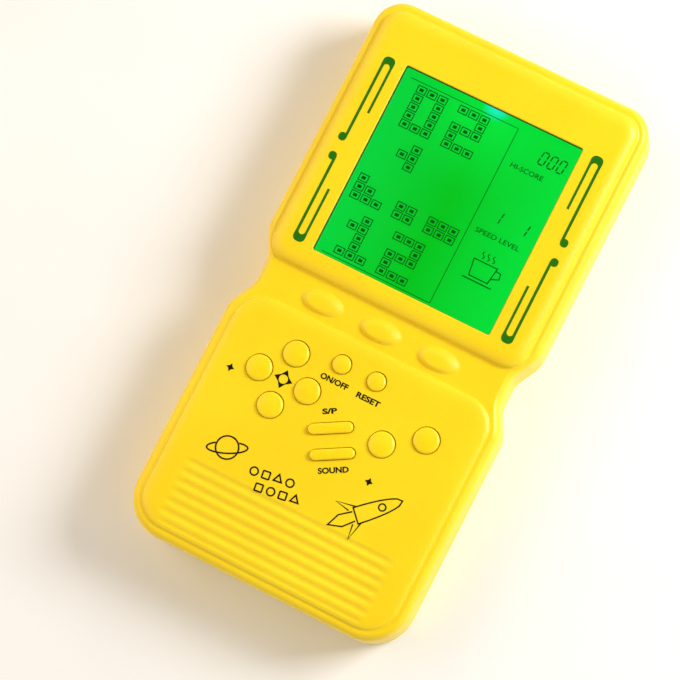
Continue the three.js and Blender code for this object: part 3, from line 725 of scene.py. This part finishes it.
def groove():
    """One groove's cutter: a wave across Y that runs along X and fades out at its ends."""
    width, depth, half_length = GROOVES["half_width"], GROOVES["depth"], GROOVES["half_length"]
    across = np.linspace(-width, width, 13)
    wave = (1 + np.cos(math.pi * across / width)) / 2
    fade = [(0, 0.02), (0.7, 0.22), (1.5, 0.55), (2.4, 0.85), (3.6, 1)]
    ends = [(x - half_length, share) for x, share in fade]
    ends += [(half_length - x, share) for x, share in fade[::-1]]
    rings = []
    for x, share in ends:
        under = [[x, y, PAD_TOP + SUNK - (depth * share + SUNK) * h] for y, h in zip(across, wave)]
        over = [[x, width, PAD_TOP + 1], [x, -width, PAD_TOP + 1]]
        rings.append(np.array(under + over))
    points, faces = loft(rings)
    points[:, 1] += GROOVES["first"]
    return points, faces


def front_shell():
    outline, frame_outline, pad_outline = case_outline(), rounded_rect(**SCREEN_FRAME), rounded_rect(**PAD)
    edge = [[0, SEAM_FRONT], [0, EDGE["bottom"]]] + quarter_round(EDGE["width"], EDGE["bottom"], BASE_TOP, 9)
    mesh = fuse(
        prism(outline, edge),
        prism(frame_outline, raised_levels(FRAME_TOP, share=0.25)),
        prism(pad_outline, raised_levels(PAD_TOP, share=0.3)),
        joined([bump(side * BUMPS["pitch"]) for side in (-1, 0, 1)]),
    )
    below = SEAM_FRONT - 1
    mesh = cut(
        mesh,
        prism(outline, [[WALL, below], [WALL, 19.6], [WALL + 1.6, BASE_TOP - WALL]]),
        prism(frame_outline, [[3.8, below], [3.8, FRAME_TOP - 2.2]]),
        prism(pad_outline, [[3, below], [3, PAD_TOP - WALL]]),
        slab(*MODULE_ROOM, below, MODULE_ROOF),
    )
    mesh = fuse(mesh, joined([
        rods(CASE_SCREWS, SEAM_FRONT, CASE_POST["top"], CASE_POST["radius"]),
        rods(BOARD_SCREWS, BOARD_POST["bottom"], BOARD_POST["top"], BOARD_POST["radius"]),
    ]))
    bores = [rods(CASE_SCREWS, below, CASE_POST["bore_top"], CASE_POST["bore"]),
             rods(BOARD_SCREWS, below, BOARD_POST["bore_top"], BOARD_POST["bore"])]
    mesh = cut(
        mesh,
        joined(bores),
        flared(rounded_rect(**SCREEN, steps=5), 20, FRAME_TOP, 0.4),
        joined([key_hole(key) for key in ROUND_KEYS + BAR_KEYS]),
        row(groove(), GROOVES["count"], (0, -GROOVES["pitch"], 0)),
    )
    finish("front_shell_moulding", mesh, CASE_ABS, ["front_shell"])


def back_levels():
    """The rear shell's rolled edge, from the flat back up to its upright wall."""
    width, height = BACK_EDGE["width"], BACK_EDGE["height"]
    return [[width * (1 - math.sin(a)), height * (1 - math.cos(a))] for a in quarter(10)] + [[0, SEAM_REAR]]


def sound_holes():
    places = [[0.0, 0.0]]
    for ring_number, radius in enumerate([4.2, 8.4], start=1):
        places += circle(radius, 6 * ring_number).tolist()
    return at_places(flared(circle(0.85, 16), -1, WALL + 2, 0.02), np.array(places) + spot("speaker_frame"))


def doorway():
    """The space that the battery door fills and slides out through."""
    past_foot, rail_top = -HALF_LENGTH - 1, RAIL["top"] + DOOR_GAP
    under, lip = BAY["floor"] - 0.1, DOOR_LIP["half_width"] + DOOR_GAP
    latch = LATCH["half_width"] + LATCH["play"]
    return [
        slab(-BAY["half_width"], BAY["half_width"], past_foot, DOOR["top"] + DOOR_GAP, -1, BAY["floor"]),
        slab(-lip, lip, past_foot, DOOR_LIP["inner"] + DOOR_GAP, -1, DOOR_LIP["top"] + DOOR_GAP),
        slab(-latch, latch, BAY["top"] - 1, LATCH["head"] + LATCH["play"], under, rail_top),
        slab(-latch, latch, past_foot, BAY["bottom"] + 1, under, rail_top),
        mirrored_pair(RAIL["inner"] - DOOR_GAP, RAIL["outer"] + DOOR_GAP,
                      past_foot, RAIL["head"] + 1, under, rail_top),
    ]


def seam_tongue(outline):
    """The rim inside the seam that keys the two shells together, broken round the screw posts."""
    bottom, top = TONGUE["bottom"], TONGUE["top"]
    return cut(
        prism(outline, [[TONGUE["outer"], bottom], [TONGUE["outer"], top]]),
        prism(outline, [[TONGUE["inner"], bottom - 1], [TONGUE["inner"], top + 1]]),
        rods(CASE_SCREWS, SEAM_REAR, top + 1, CASE_POST["radius"] + 0.4),
    )


def rear_shell():
    outline, speaker = case_outline(), spot("speaker_frame")
    half, bottom, top = BAY["half_width"], BAY["bottom"], BAY["top"]
    ceiling, wall = BAY["ceiling"], BAY["wall"]
    side, above = half + BAY["side"], SEAM_REAR + 1
    mesh = cut(prism(outline, back_levels()), prism(outline, [[WALL + 1.4, WALL], [WALL, 4], [WALL, above]]))
    mesh = fuse(
        mesh,
        slab(-side, side, bottom - wall, top + wall, 1, ceiling + wall),
        rod(*speaker, 1, 6, SPEAKER_RADIUS + 2, 64),
    )
    mesh = cut(mesh, rod(*speaker, WALL, 7, SPEAKER_RADIUS + 0.5, 64))
    mesh = fuse(mesh, rods(CASE_SCREWS, 1, SEAM_REAR, REAR_POST["radius"]))
    tab_ys = spot("battery_1")[1], spot("battery_2")[1]
    mesh = cut(
        mesh,
        slab(-half, half, bottom, top, 1.3, ceiling),
        *doorway(),
        joined([slab(28.9, 30, y - 2.2, y + 2.2, 17.2, 21.2) for y in tab_ys]),
        joined([screw_well(*spot(screw)) for screw in CASE_SCREWS]),
        rods(CASE_SCREWS, 5, above, REAR_POST["bore"]),
        sound_holes(),
    )
    finish("rear_shell_moulding", fuse(mesh, seam_tongue(outline)), CASE_ABS, ["rear_shell"])


def screw_well(x, y):
    """A screw's well in the back, with a rounded mouth."""
    mouth = [[-0.4 * (1 - math.sin(a)), 0.4 * (1 - math.cos(a)) - 0.002] for a in quarter(4)]
    return prism(circle(REAR_POST["well"], 40, x, y), [[-0.4, -2]] + mouth + [[0, REAR_POST["well_top"]]])


def battery_door():
    """The sliding door: grip ridges, rails, a latch tongue and an arrow that shows the way it slides."""
    skin = to_mesh(prism(case_outline(), back_levels()))
    past_foot, half, lip_half = -HALF_LENGTH - 1, DOOR["half_width"], DOOR_LIP["half_width"]
    plate = slab(-half, half, past_foot, DOOR["top"], DOOR["back"], DOOR["front"])
    lip = slab(-lip_half, lip_half, past_foot, DOOR_LIP["inner"], DOOR["back"], DOOR_LIP["top"])
    rail = RAIL["foot"], RAIL["head"]
    latch = -LATCH["half_width"], LATCH["half_width"]
    mesh = fuse(
        boolean(skin.copy(), plate, "INTERSECT"),
        boolean(skin, lip, "INTERSECT"),
        slab(*latch, LATCH["foot"], LATCH["head"], RAIL["bottom"], RAIL["top"]),
        slab(*latch, LATCH["foot"], LATCH["foot"] + LATCH["root"], RAIL["root"], RAIL["top"]),
        mirrored_pair(RAIL["inner"], half, *rail, RAIL["root"], RAIL["top"]),
        mirrored_pair(RAIL["inner"], RAIL["outer"], *rail, RAIL["bottom"], RAIL["top"]),
    )
    slot = moved(prism(stadium(13, 0.55, 6), [[-0.2, -0.5], [-0.2, 0.2], [0, 0.75]]), y=-76)
    mesh = cut(mesh, row(slot, 6, (0, 1.9, 0)), arrow_recess())
    finish("battery_door_moulding", mesh, CASE_ABS, ["battery_door"], "battery_door")


def arrow_recess():
    """A plain arrow towards the foot, sunk into the door."""
    outline = np.array([[0, -83.5], [3.6, -79.9], [1.3, -79.9], [1.3, -78.3], [-1.3, -78.3], [-1.3, -79.9],
                        [-3.6, -79.9]], float)
    return flat(outline, (-0.5, 0.5))


def screw(radius, z_from, seat, shank, tip):
    """A pan-head screw with a cross recess, its head towards the back."""
    crown = [[0.02, z_from + 0.02], [radius * 0.6, z_from + 0.05], [radius * 0.85, z_from + 0.25],
             [radius * 0.97, z_from + 0.55], [radius, z_from + 0.9], [radius, seat], [shank, seat]]
    thread = []
    z = seat + 0.4
    while z < tip - 2:
        thread += [[shank - 0.22, z], [shank, z + 0.35]]
        z += 0.7
    point = [[shank - 0.3, tip - 1.5], [0.05, tip]]
    arm, width = radius * 0.55, radius * 0.13
    return cut(lathe(crown + thread + point, sides=28),
               slab(-arm, arm, -width, width, z_from - 1, z_from + 0.9),
               slab(-width, width, -arm, arm, z_from - 1, z_from + 0.9))


def screws(name, nodes, mesh):
    finish(name, at_places(mesh, np.array([spot(node) for node in nodes]), ZINC), ZINC, nodes)


# ---- keys

def round_key(key):
    x, y = spot(key) + KEY_PLAY
    radius = cap_radius(key)
    stem, flange = radius * 0.6, radius + KEY_LIP
    edge, drop, crest = radius * 0.27, 0.75, 0.3
    crown = [[radius - edge + edge * math.cos(a), KEY_TOP - crest - drop + drop * math.sin(a)]
             for a in quarter(10)]
    dome = [[(radius - edge) * share, KEY_TOP - crest * share * share]
            for share in (0.85, 0.65, 0.45, 0.25, 0.05)]
    foot = [[stem - 0.2, KEY_FOOT], [stem, KEY_FOOT + 0.2], [stem, FLANGE_BOTTOM],
            [flange - 0.15, FLANGE_BOTTOM], [flange, FLANGE_BOTTOM + 0.15],
            [flange, FLANGE_TOP - 0.15], [flange - 0.15, FLANGE_TOP], [radius, FLANGE_TOP]]
    finish(key + "_cap", lathe(foot + crown + dome, x, y, 72), KEY_ABS, [key], key, 40)


def bar_key(key):
    x, y = spot(key) + KEY_PLAY
    shoulder = KEY_TOP - 0.75
    cap = [[0, FLANGE_TOP - 0.5], [0, shoulder]] + quarter_round(0.55, shoulder, KEY_TOP - 0.12)
    cap += [[0.9, KEY_TOP - 0.04], [1.3, KEY_TOP]]
    flange = [[0.12, FLANGE_BOTTOM], [0, FLANGE_BOTTOM + 0.12], [0, FLANGE_TOP - 0.12], [0.12, FLANGE_TOP]]
    mesh = fuse(
        prism(stadium(BAR_HALF_LENGTH, BAR_HALF_WIDTH, 10), cap),
        prism(stadium(BAR_HALF_LENGTH + KEY_LIP, BAR_HALF_WIDTH + KEY_LIP, 10), flange),
        slab(-3.5, 3.5, -1.2, 1.2, KEY_FOOT, FLANGE_BOTTOM + 0.5),
    )
    mesh.transform(Matrix.Translation((x, y, 0)) @ Matrix.Rotation(SLANT, 4, "Z"))
    finish(key + "_cap", mesh, KEY_ABS, [key], key, 40)


# ---- screen

def window():
    low, high = node_box("display_window")
    levels = [[0.1, low[2]], [0, low[2] + 0.1], [0, high[2] - 0.1], [0.1, high[2]]]
    shape = prism(rounded_rect(high[0], low[1], high[1], 1.5, 1.5, 5), levels)
    finish("window_plate", shape, ACRYLIC, ["display_window"])


def lcd_film():
    low, high = node_box("lcd_front_polarizer")
    shape = flat(rounded_rect(high[0], low[1], high[1], 0.8, 0.8, 4), (low[2], high[2]))
    finish("lcd_lit_film", shape, SCREEN_GLOW, ["lcd_front_polarizer"])


def opening_painted_shade():
    """A thin black lining on the walls of the screen's opening: painted shade, for the dark shadow line along
    the opening's edge.
    """
    bottom, top = node_box("display_window")[1][2] + 0.02, FRAME_TOP - 0.55
    outline = rounded_rect(**dict(SCREEN, half_width=SCREEN["half_width"] - 0.01), steps=5)
    mesh = cut(flat(outline, (bottom, top)), prism(outline, [[0.09, bottom - 1], [0.09, top + 1]]))
    # painted shade: the black lining darkens the opening's walls where shadow falls
    finish("screen_gasket", mesh, BLACK_SLEEVE)


def lit_cells():
    """The lit squares of the play field, as (column, row): two rows of digits and blocks between them."""
    ring_digit = [(c, r) for c in (1, 2, 3) for r in range(5) if c != 2 or r in (0, 4)]
    two = [(5, 0), (6, 0), (7, 0), (7, 1), (5, 2), (6, 2), (7, 2), (5, 3), (5, 4), (6, 4), (7, 4)]
    tee = [(2, 7), (3, 6), (3, 7), (3, 8)]
    ell = [(0, 11), (0, 12), (1, 12), (0, 13), (1, 13), (2, 13)]
    blocks = [(c, r) for c in (4, 5, 7, 8, 9) for r in (12, 13)]
    one = [(2, 15), (1, 16), (2, 16), (2, 17), (2, 18), (1, 19), (2, 19), (3, 19)]
    low_two = [(c, r + 15) for c, r in two]
    return ring_digit + two + tee + ell + blocks + one + low_two


def lcd_cells():
    square = np.array([[-1.445, -1.145], [1.445, -1.145], [1.445, 1.145], [-1.445, 1.145]])
    cell = joined([stroke(square, 0.31, LCD_LAYER, True), slab(-0.68, 0.68, -0.5, 0.5, *LCD_LAYER)])
    return at_places(cell, np.array(lit_cells()) * [CELL_PITCH_X, -CELL_PITCH_Y] + FIRST_CELL, SEGMENT)


SEVEN_SEGMENTS = {
    "a": (0, 2, 1, 2), "b": (1, 1, 1, 2), "c": (1, 0, 1, 1), "d": (0, 0, 1, 0),
    "e": (0, 0, 0, 1), "f": (0, 1, 0, 2), "g": (0, 1, 1, 1),
}
DIGITS = {"0": "abcdef", "1": "bc"}


def digit(figure, x, y, width, height, line):
    """A slanted seven-segment figure."""
    shapes = []
    for segment in DIGITS[figure]:
        ends = np.reshape(SEVEN_SEGMENTS[segment], (2, 2)) * [width, height / 2]
        along = ends[1] - ends[0]
        gap = along / np.linalg.norm(along) * line * 0.6
        ends += [gap, -gap]
        ends[:, 0] += ends[:, 1] * 0.15
        shapes.append(stroke(ends + [x, y], line, LCD_LAYER))
    return joined(shapes)


def lcd_figures():
    shapes = [digit("0", 19.2 + 3.1 * i, SCREEN_Y + 22.6, 1.9, 4.2, 0.42) for i in range(3)]
    shapes += [digit("1", x, SCREEN_Y + 0.2, 1.8, 4, 0.42) for x in (15, 24)]
    borders = [[[-28.3, 29.8], [8.9, 29.8]], [[-28.3, -31], [8.9, -31]], [[9.2, 29.9], [9.2, -31.1]]]
    shapes += [stroke(np.array(border) + [0, SCREEN_Y], 0.22, LCD_LAYER) for border in borders]
    return joined(shapes)


def lettering(text, x, y, width, height, layer, angle=0, weight=0.36):
    """Plain lettering, centred on a place, as a thin solid."""
    curve = bpy.data.curves.new(text, "FONT")
    curve.body = text
    curve.size = 10
    curve.extrude = 0.5
    curve.offset = weight
    curve.resolution_u = 4
    points, faces = shape_of(baked(show(curve, "lettering")))
    low, high = points.min(axis=0), points.max(axis=0)
    points = (points - (low + high) / 2) * [width / (high[0] - low[0]), height / (high[1] - low[1]), 1]
    points[:, 2] = np.where(points[:, 2] > 0, layer[1], layer[0])
    points[:, :2] = turn(points[:, :2], angle, x, y)
    return points, faces


def lifted(layer, step):
    """A layer whose top is raised, so that crossing lines don't share a face."""
    return layer[0], layer[1] + step


def mirrored(shape, sx, sy):
    """A shape on another side of the screen's middle; its faces turn over when only one direction flips."""
    points, faces = shape
    points = (points - [0, SCREEN_Y, 0]) * [sx, sy, 1] + [0, SCREEN_Y, 0]
    return points, faces if sx * sy > 0 else [face[::-1] for face in faces]


def stroke(path, width, layer, closed=False):
    """A flat line of even width along a path, mitred at its corners."""
    path = np.array(path, float)
    count = len(path)
    nexts, lasts = np.roll(path, -1, axis=0), np.roll(path, 1, axis=0)
    if not closed:
        nexts[-1] = 2 * path[-1] - path[-2]
        lasts[0] = 2 * path[0] - path[1]
    before, after = aside(lasts, path), aside(path, nexts)
    share = width / 2 / np.maximum(1 + (before * after).sum(axis=1), 0.4)
    offset = (before + after) * share[:, None]
    points = np.vstack([ring(side, z) for side in (path + offset, path - offset) for z in layer])
    left, left_top, right, right_top = (level * count for level in range(4))
    strips = (left_top, right_top), (right, left), (left, left_top), (right_top, right)
    faces = []
    for i in range(count if closed else count - 1):
        j = (i + 1) % count
        faces += [[one + i, other + i, other + j, one + j] for one, other in strips]
    if not closed:
        end = count - 1
        faces.append([left, right, right_top, left_top])
        faces.append([left + end, left_top + end, right_top + end, right + end])
    return points, faces


def cup_icon(x, y):
    """A steaming cup in a few lines."""
    cup = [[-4, 2.2], [4, 2.2], [3.2, -3.2], [-3.2, -3.2]]
    handle = [[3.9, 1.4], [5.6, 1.2], [5.9, -0.6], [3.5, -1.6]]
    saucer = [[-5, -4.3], [5, -4.3]]
    lines = [(cup, 0.35, True), (handle, 0.35, False), (saucer, 0.4, False)]
    for dx in (-1.8, 0, 1.8):
        steam = [[dx + 0.45 * math.sin(t * 2 * math.pi), 3.1 + 2.2 * t] for t in np.linspace(0, 1, 9)]
        lines.append((steam, 0.3, False))
    return joined([stroke(np.array(path) + [x, y], width, LCD_LAYER, closed)
                   for path, width, closed in lines])


def screen_print():
    labels = joined([
        lettering("HI-SCORE", 17.6, SCREEN_Y + 18.8, 11, 1.6, LCD_LAYER, weight=0.1),
        lettering("SPEED LEVEL", 19, SCREEN_Y - 4, 15, 1.6, LCD_LAYER, weight=0.1),
    ])
    finish("lcd_play_field", lcd_cells(), SEGMENT)
    finish("lcd_figures", lcd_figures(), SEGMENT)
    finish("lcd_labels", labels, SEGMENT)
    finish("lcd_cup_icon", cup_icon(19.2, SCREEN_Y - 14.6), SEGMENT)


# ---- prints

def star(x, y, reach, waist):
    """A four-pointed star."""
    return flat(circle(1, 8) * np.tile([reach, waist], 4)[:, None] + [x, y], PAD_LAYER)


def words():
    """Each function word by its key: its offset from the key, its width and height, and its slant."""
    labels = [
        ("ON/OFF", "key_power", (0.3, -5.7), 9.4, 1.9, 0),
        ("RESET", "key_reset", (0.2, -6.1), 7.9, 1.9, 0),
        ("S/P", "key_start_pause", (-2.7, 4.5), 4.6, 1.8, SLANT),
        ("SOUND", "key_sound", (2.5, -4.3), 9.5, 1.9, SLANT),
    ]
    shapes = [lettering(text, *(spot(key) + offset), width, height, PAD_LAYER, angle)
              for text, key, offset, width, height, angle in labels]
    finish("key_labels", joined(shapes), BLACK_INK)


def stars():
    left, up = spot("key_left"), spot("key_up")
    middle, (z0, z1) = (up[0], left[1]), PAD_LAYER
    mesh = cut(star(*middle, 3.1, 1.75), rod(*middle, z0 - 1, z1 + 1, 1.45, 28))
    finish("cross_star", mesh, BLACK_INK)
    small = joined([star(*(left - [8.1, 4]), 1.35, 0.68), star(17.9, -47.5, 1.35, 0.68)])
    finish("small_stars", small, BLACK_INK)


def planet():
    """A ringed planet, drawn in lines."""
    x, y = -26, -57.6
    angles = np.radians(np.linspace(125, 415, 40))
    band = turn(np.column_stack([6.4 * np.cos(angles), 1.8 * np.sin(angles)]), math.radians(24), x, y)
    shapes = [stroke(circle(3.6, 40, x, y), 0.5, PAD_LAYER, True),
              stroke(band, 0.5, lifted(PAD_LAYER, 0.004))]
    finish("planet_drawing", joined(shapes), BLACK_INK)


def pattern_rows():
    """Two slanting rows of small outline shapes: circles, squares and triangles."""
    tilt, pitch = math.radians(8), 3.9
    figures = {"circle": circle(1.25, 24), "square": rounded_rect(1.15, -1.15, 1.15, 0.2, 0.2, 2),
               "triangle": circle(1.5, 3) @ np.array([[0, 1], [-1, 0]])}
    rows = [(-10.2, -59.6, "circle square triangle circle"), (-6.6, -63.5, "square circle square triangle")]
    shapes = []
    for x, y, names in rows:
        for i, name in enumerate(names.split()):
            place = turn(np.array([[i * pitch - 5, 0.0]]), tilt, x, y)[0]
            shapes.append(stroke(turn(figures[name], tilt, *place), 0.5, PAD_LAYER, True))
    finish("shape_rows", joined(shapes), BLACK_INK)


def rocket():
    """A plain rocket with two fins and a flame, drawn in lines along its own axis."""
    t = np.linspace(0, 1, 12)
    upper = np.column_stack([t * 15, 2.6 * np.sqrt(np.clip(1 - t ** 2.2, 0, 1))])
    hull = np.vstack([upper, (upper * [1, -1])[::-1][1:]])
    fin = np.array([[1, 2.6], [-4.5, 6.2], [-1.6, 2.2]])
    flame = np.array([[-0.6, 1.5], [-5, 1.9], [-9, 0], [-5, -1.9], [-0.6, -1.5]])
    paths = [(hull, True), (fin, False), (fin * [1, -1], False), (flame, False), (circle(1.1, 24, 8.5), True)]
    shapes = [stroke(turn(path, math.radians(44), 19, -58.5), 0.45, lifted(PAD_LAYER, 0.003 * i), closed)
              for i, (path, closed) in enumerate(paths)]
    finish("rocket_drawing", joined(shapes), BLACK_INK)


def ornaments():
    """Green line ornaments beside the screen, mirrored left to right and top to bottom."""
    z0, z1 = FRAME_LAYER
    line_layer = SCREEN_Y + 29.2, z0, z1 - 0.004
    cap = flat(rounded_rect(1.95, 28.9, 32.2, 0.25, 1.6, 6) + [-35.95, SCREEN_Y], FRAME_LAYER)
    lines = [
        slab(-37.85, -36.95, SCREEN_Y + 3.2, *line_layer),
        flat(rounded_rect(1.25, 2.0, 4.7, 1.1, 1.1, 6) + [-38.3, SCREEN_Y], FRAME_LAYER),
        slab(-34.85, -34.05, SCREEN_Y + 13.3, *line_layer),
    ]
    sides = [(sx, sy) for sx in (1, -1) for sy in (1, -1)]
    arches = joined([rod(sx * 35.95, SCREEN_Y + sy * 28.7, z0 - 1, z1 + 1, 1.05, 24) for sx, sy in sides])
    caps = shape_of(cut(joined([mirrored(cap, *side) for side in sides]), arches))
    rest = [mirrored(line, *side) for side in sides for line in lines]
    finish("screen_ornaments", joined([caps] + rest), GREEN_INK)


# ---- inside

def power_cell(name, positive):
    """An AA cell: steel can with a wrap, a crimped shoulder and a nub."""
    low, high = node_box(name)
    length, radius = high[0] - low[0], 7.25
    profile = [[0.01, 0.25], [5.8, 0.25], [6.2, 0], [radius - 0.3, 0.05], [radius, 0.5], [radius, length - 2],
               [radius - 0.15, length - 1.6], [radius - 0.6, length - 1.15], [3.6, length - 1.05],
               [3.4, length - 1.2], [2.8, length - 1.1], [2.75, length - 0.15], [2.5, length], [0.01, length]]
    points, faces = lathe(profile, sides=56)
    points = np.column_stack([positive * points[:, 2], points[:, 1], -positive * points[:, 0]])
    start = (low if positive > 0 else high)[0]
    points += [start, *((low + high) / 2)[1:]]
    wrap = WRAP_RIGHT if positive > 0 else WRAP_LEFT
    finish(name + "_wrapped", (points, faces), wrap, [name], smooth=30)


def cells():
    power_cell("battery_1", 1)
    power_cell("battery_2", -1)


MATS = {
    "mat_cross": ["key_up", "key_down", "key_left", "key_right"],
    "mat_function": ["key_power", "key_reset"],
    "mat_option": ["key_start_pause", "key_sound"],
    "mat_action": ["key_rotate", "key_drop"],
}
MAT_PAD_RADIUS, MAT_WEB_HALF_WIDTH = 4.2, 3
MAT_BOTTOM, MAT_TOP, DOME_TOP, DOME_KEPT = 14.9, 15.9, 18.3, 0.62


def mat_sheet(name, keys):
    """One silicone sheet: a round pad under each key, joined to the others by webs."""
    places = [spot(key) for key in keys]
    middle = np.mean(places, axis=0)
    levels = [[0.2, MAT_BOTTOM], [0, MAT_BOTTOM + 0.2], [0, MAT_TOP]]
    mesh = fuse(*[prism(circle(MAT_PAD_RADIUS, 48, *place), levels) for place in places])
    for place in places:
        along = place - middle
        outline = stadium(np.linalg.norm(along) + 1.5, MAT_WEB_HALF_WIDTH, 8)
        web = flat(outline, (MAT_BOTTOM + 0.1, MAT_TOP - 0.1))
        mesh = fuse(mesh, moved(web, math.atan2(along[1], along[0]), *middle))
    finish(name + "_sheet", mesh, SILICONE, [name])


def key_dome(key):
    """The silicone dome that pushes a key back up, in its resting shape."""
    x, y = spot(key)
    profile = [[3.3, MAT_TOP - 0.02], [3.3, MAT_TOP + 0.25], [3.1, MAT_TOP + 0.6], [2.6, DOME_TOP - 0.7],
               [2.4, DOME_TOP - 0.35], [2.3, DOME_TOP - 0.08], [2.15, DOME_TOP], [0.8, DOME_TOP],
               [0.7, DOME_TOP - 0.15], [0.02, DOME_TOP - 0.15]]
    piece = finish(key + "_dome", lathe(profile, x, y, 40), SILICONE)
    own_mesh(piece)


def silicone_mats():
    for name, keys in MATS.items():
        mat_sheet(name, keys)
        for key in keys:
            key_dome(key)


CONTACT = dict(x=29.45, half_thickness=0.25, reach=4.8, bottom=5.5, top=15, tab_top=20.2)
CELL_Z = 10.6


def aimed(shape, towards, x, y, z):
    """The shape with its own Z axis turned to point along X, towards +1 or -1."""
    points, faces = shape
    return points[:, [2, 0, 1]] * [towards, towards, 1] + [x, y, z], faces


def contact(name, side, touches):
    """A nickelled plate at one end of the bay, with a button or a coil spring for each cell it touches."""
    half, face = CONTACT["half_thickness"], side * (CONTACT["x"] - CONTACT["half_thickness"])
    ys = [spot(cell)[1] for cell in touches]
    middle, span = (min(ys) + max(ys)) / 2, (max(ys) - min(ys)) / 2
    bottom, top = CONTACT["bottom"], CONTACT["top"]
    plate = flat(rounded_rect(span + CONTACT["reach"], bottom, top, 1, 1, 5), (-half, half))
    shapes = [aimed(plate, 1, side * CONTACT["x"], middle, 0)]
    for y, kind in zip(ys, touches.values()):
        if kind == "button":
            part = lathe([[2.2, -0.1], [2.15, 0.3], [1.95, 0.7], [1.6, 0.93], [1.1, 1], [0.02, 1]], sides=32)
        else:
            part = shape_of(run_tree(to_mesh((np.zeros((1, 3)), [])), COIL, turns=3.5, wide=4.4, narrow=3.0,
                                     length=6.0, wire=0.4, material=NICKEL))
        shapes.append(aimed(part, -side, face, y, CELL_Z))
    if side > 0:
        shapes.append(slab(face, face + 2 * half, middle - 1.5, middle + 1.5, top - 1, CONTACT["tab_top"]))
    finish(name + "_plate", joined(shapes), NICKEL, [name])


def contacts():
    contact("contact_positive", 1, {"battery_1": "button"})
    contact("contact_negative", 1, {"battery_2": "spring"})
    contact("contact_link", -1, {"battery_1": "spring", "battery_2": "button"})


def carried_over():
    """Finishes for the CAD parts that are shown as they are."""
    finishes = {
        "lcd_front_glass": GLASS, "lcd_rear_glass": GLASS, "lcd_rear_polarizer": FILM,
        "backlight_diffuser": WHITE_FILM, "light_guide": GUIDE, "backlight_reflector": WHITE_FILM,
        "backlight_led": WHITE_ABS, "lcd_frame": WHITE_ABS, "zebra_connector": SILICONE, "main_board": BOARD,
        "chip_epoxy_blob": RESIN, "electrolytic_capacitor": BLACK_SLEEVE, "resistor_1": LACQUER,
        "resistor_2": LACQUER, "wire_battery_positive": RED_SLEEVE, "wire_battery_negative": BLACK_SLEEVE,
        "speaker_frame": ZINC, "speaker_cone": PAPER, "speaker_magnet": ZINC, "wire_speaker_a": RED_SLEEVE,
        "wire_speaker_b": BLACK_SLEEVE,
    }
    for name, material in finishes.items():
        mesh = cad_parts[name].data
        mesh.materials.clear()
        mesh.materials.append(material)


# ---- stage, camera and light

TABLE_REACH = 3


def stage():
    corners = TABLE_REACH * np.array([[-1, -1], [1, -1], [1, 1], [-1, 1]], float)
    floor = show(to_mesh((ring(corners, 0), [[0, 1, 2, 3]])), "table")
    floor.data.materials.append(WHITE_TABLE)


def camera():
    data = bpy.data.cameras.new("camera")
    data.lens = 158.82
    data.sensor_width = 36
    data.clip_start, data.clip_end = 0.05, 20
    obj = show(data, "camera")
    obj.location = (0.14027, -0.08883, 0.93011)
    obj.rotation_euler = [math.radians(a) for a in (8.528, 6.224, 27.218)]
    bpy.context.scene.camera = obj


def lamp(name, place, size, power, tint="ffffff"):
    """A square soft box that looks at the middle of the game."""
    data = bpy.data.lights.new(name, "AREA")
    data.shape = "SQUARE"
    data.size = size
    data.energy = power
    data.color = colour(tint)[:3]
    obj = show(data, name)
    obj.location = place
    direction = -obj.location
    obj.rotation_euler = direction.to_track_quat("-Z", "Y").to_euler()


def studio():
    world = bpy.data.worlds.new("studio")
    world.use_nodes = True
    tree = world.node_tree
    sky = tree.nodes["Background"]
    place = add_node(tree, "ShaderNodeTexCoord").outputs["Generated"]
    split = add_node(tree, "ShaderNodeSeparateXYZ", {"Vector": place})
    ramp = add_node(tree, "ShaderNodeValToRGB", {"Fac": split.outputs["Z"]})
    stops = ramp.color_ramp.elements
    stops[0].position, stops[1].position = 0.8, 0.94
    stops[0].color, stops[1].color = colour("f4f4f4"), colour("1c1c1c")
    tree.links.new(ramp.outputs["Color"], sky.inputs["Color"])
    sky.inputs["Strength"].default_value = 0.62
    bpy.context.scene.world = world
    lamp("key_light", place=(0.55, 0.45, 0.5), size=0.36, power=6.9)
    lamp("fill_light", place=(-0.8, -0.15, 0.55), size=0.9, power=5.2, tint="ffdfae")
    bpy.context.scene.view_settings.view_transform = "Standard"


# ---- the whole game

def build():
    front_shell()
    rear_shell()
    battery_door()
    screws("case_screws", CASE_SCREWS, screw(radius=2.5, z_from=5.5, seat=7.4, shank=1.3, tip=19))
    screws("board_screws", BOARD_SCREWS, screw(radius=2.2, z_from=11.6, seat=13.1, shank=1.1, tip=18.5))
    for key in ROUND_KEYS:
        round_key(key)
    for key in BAR_KEYS:
        bar_key(key)
    window()
    # the screen opening's thin black lining is painted shade
    opening_painted_shade()
    lcd_film()
    screen_print()
    words()
    stars()
    planet()
    pattern_rows()
    rocket()
    ornaments()
    silicone_mats()
    cells()
    contacts()
    carried_over()


camera()
build()
stage()
studio()
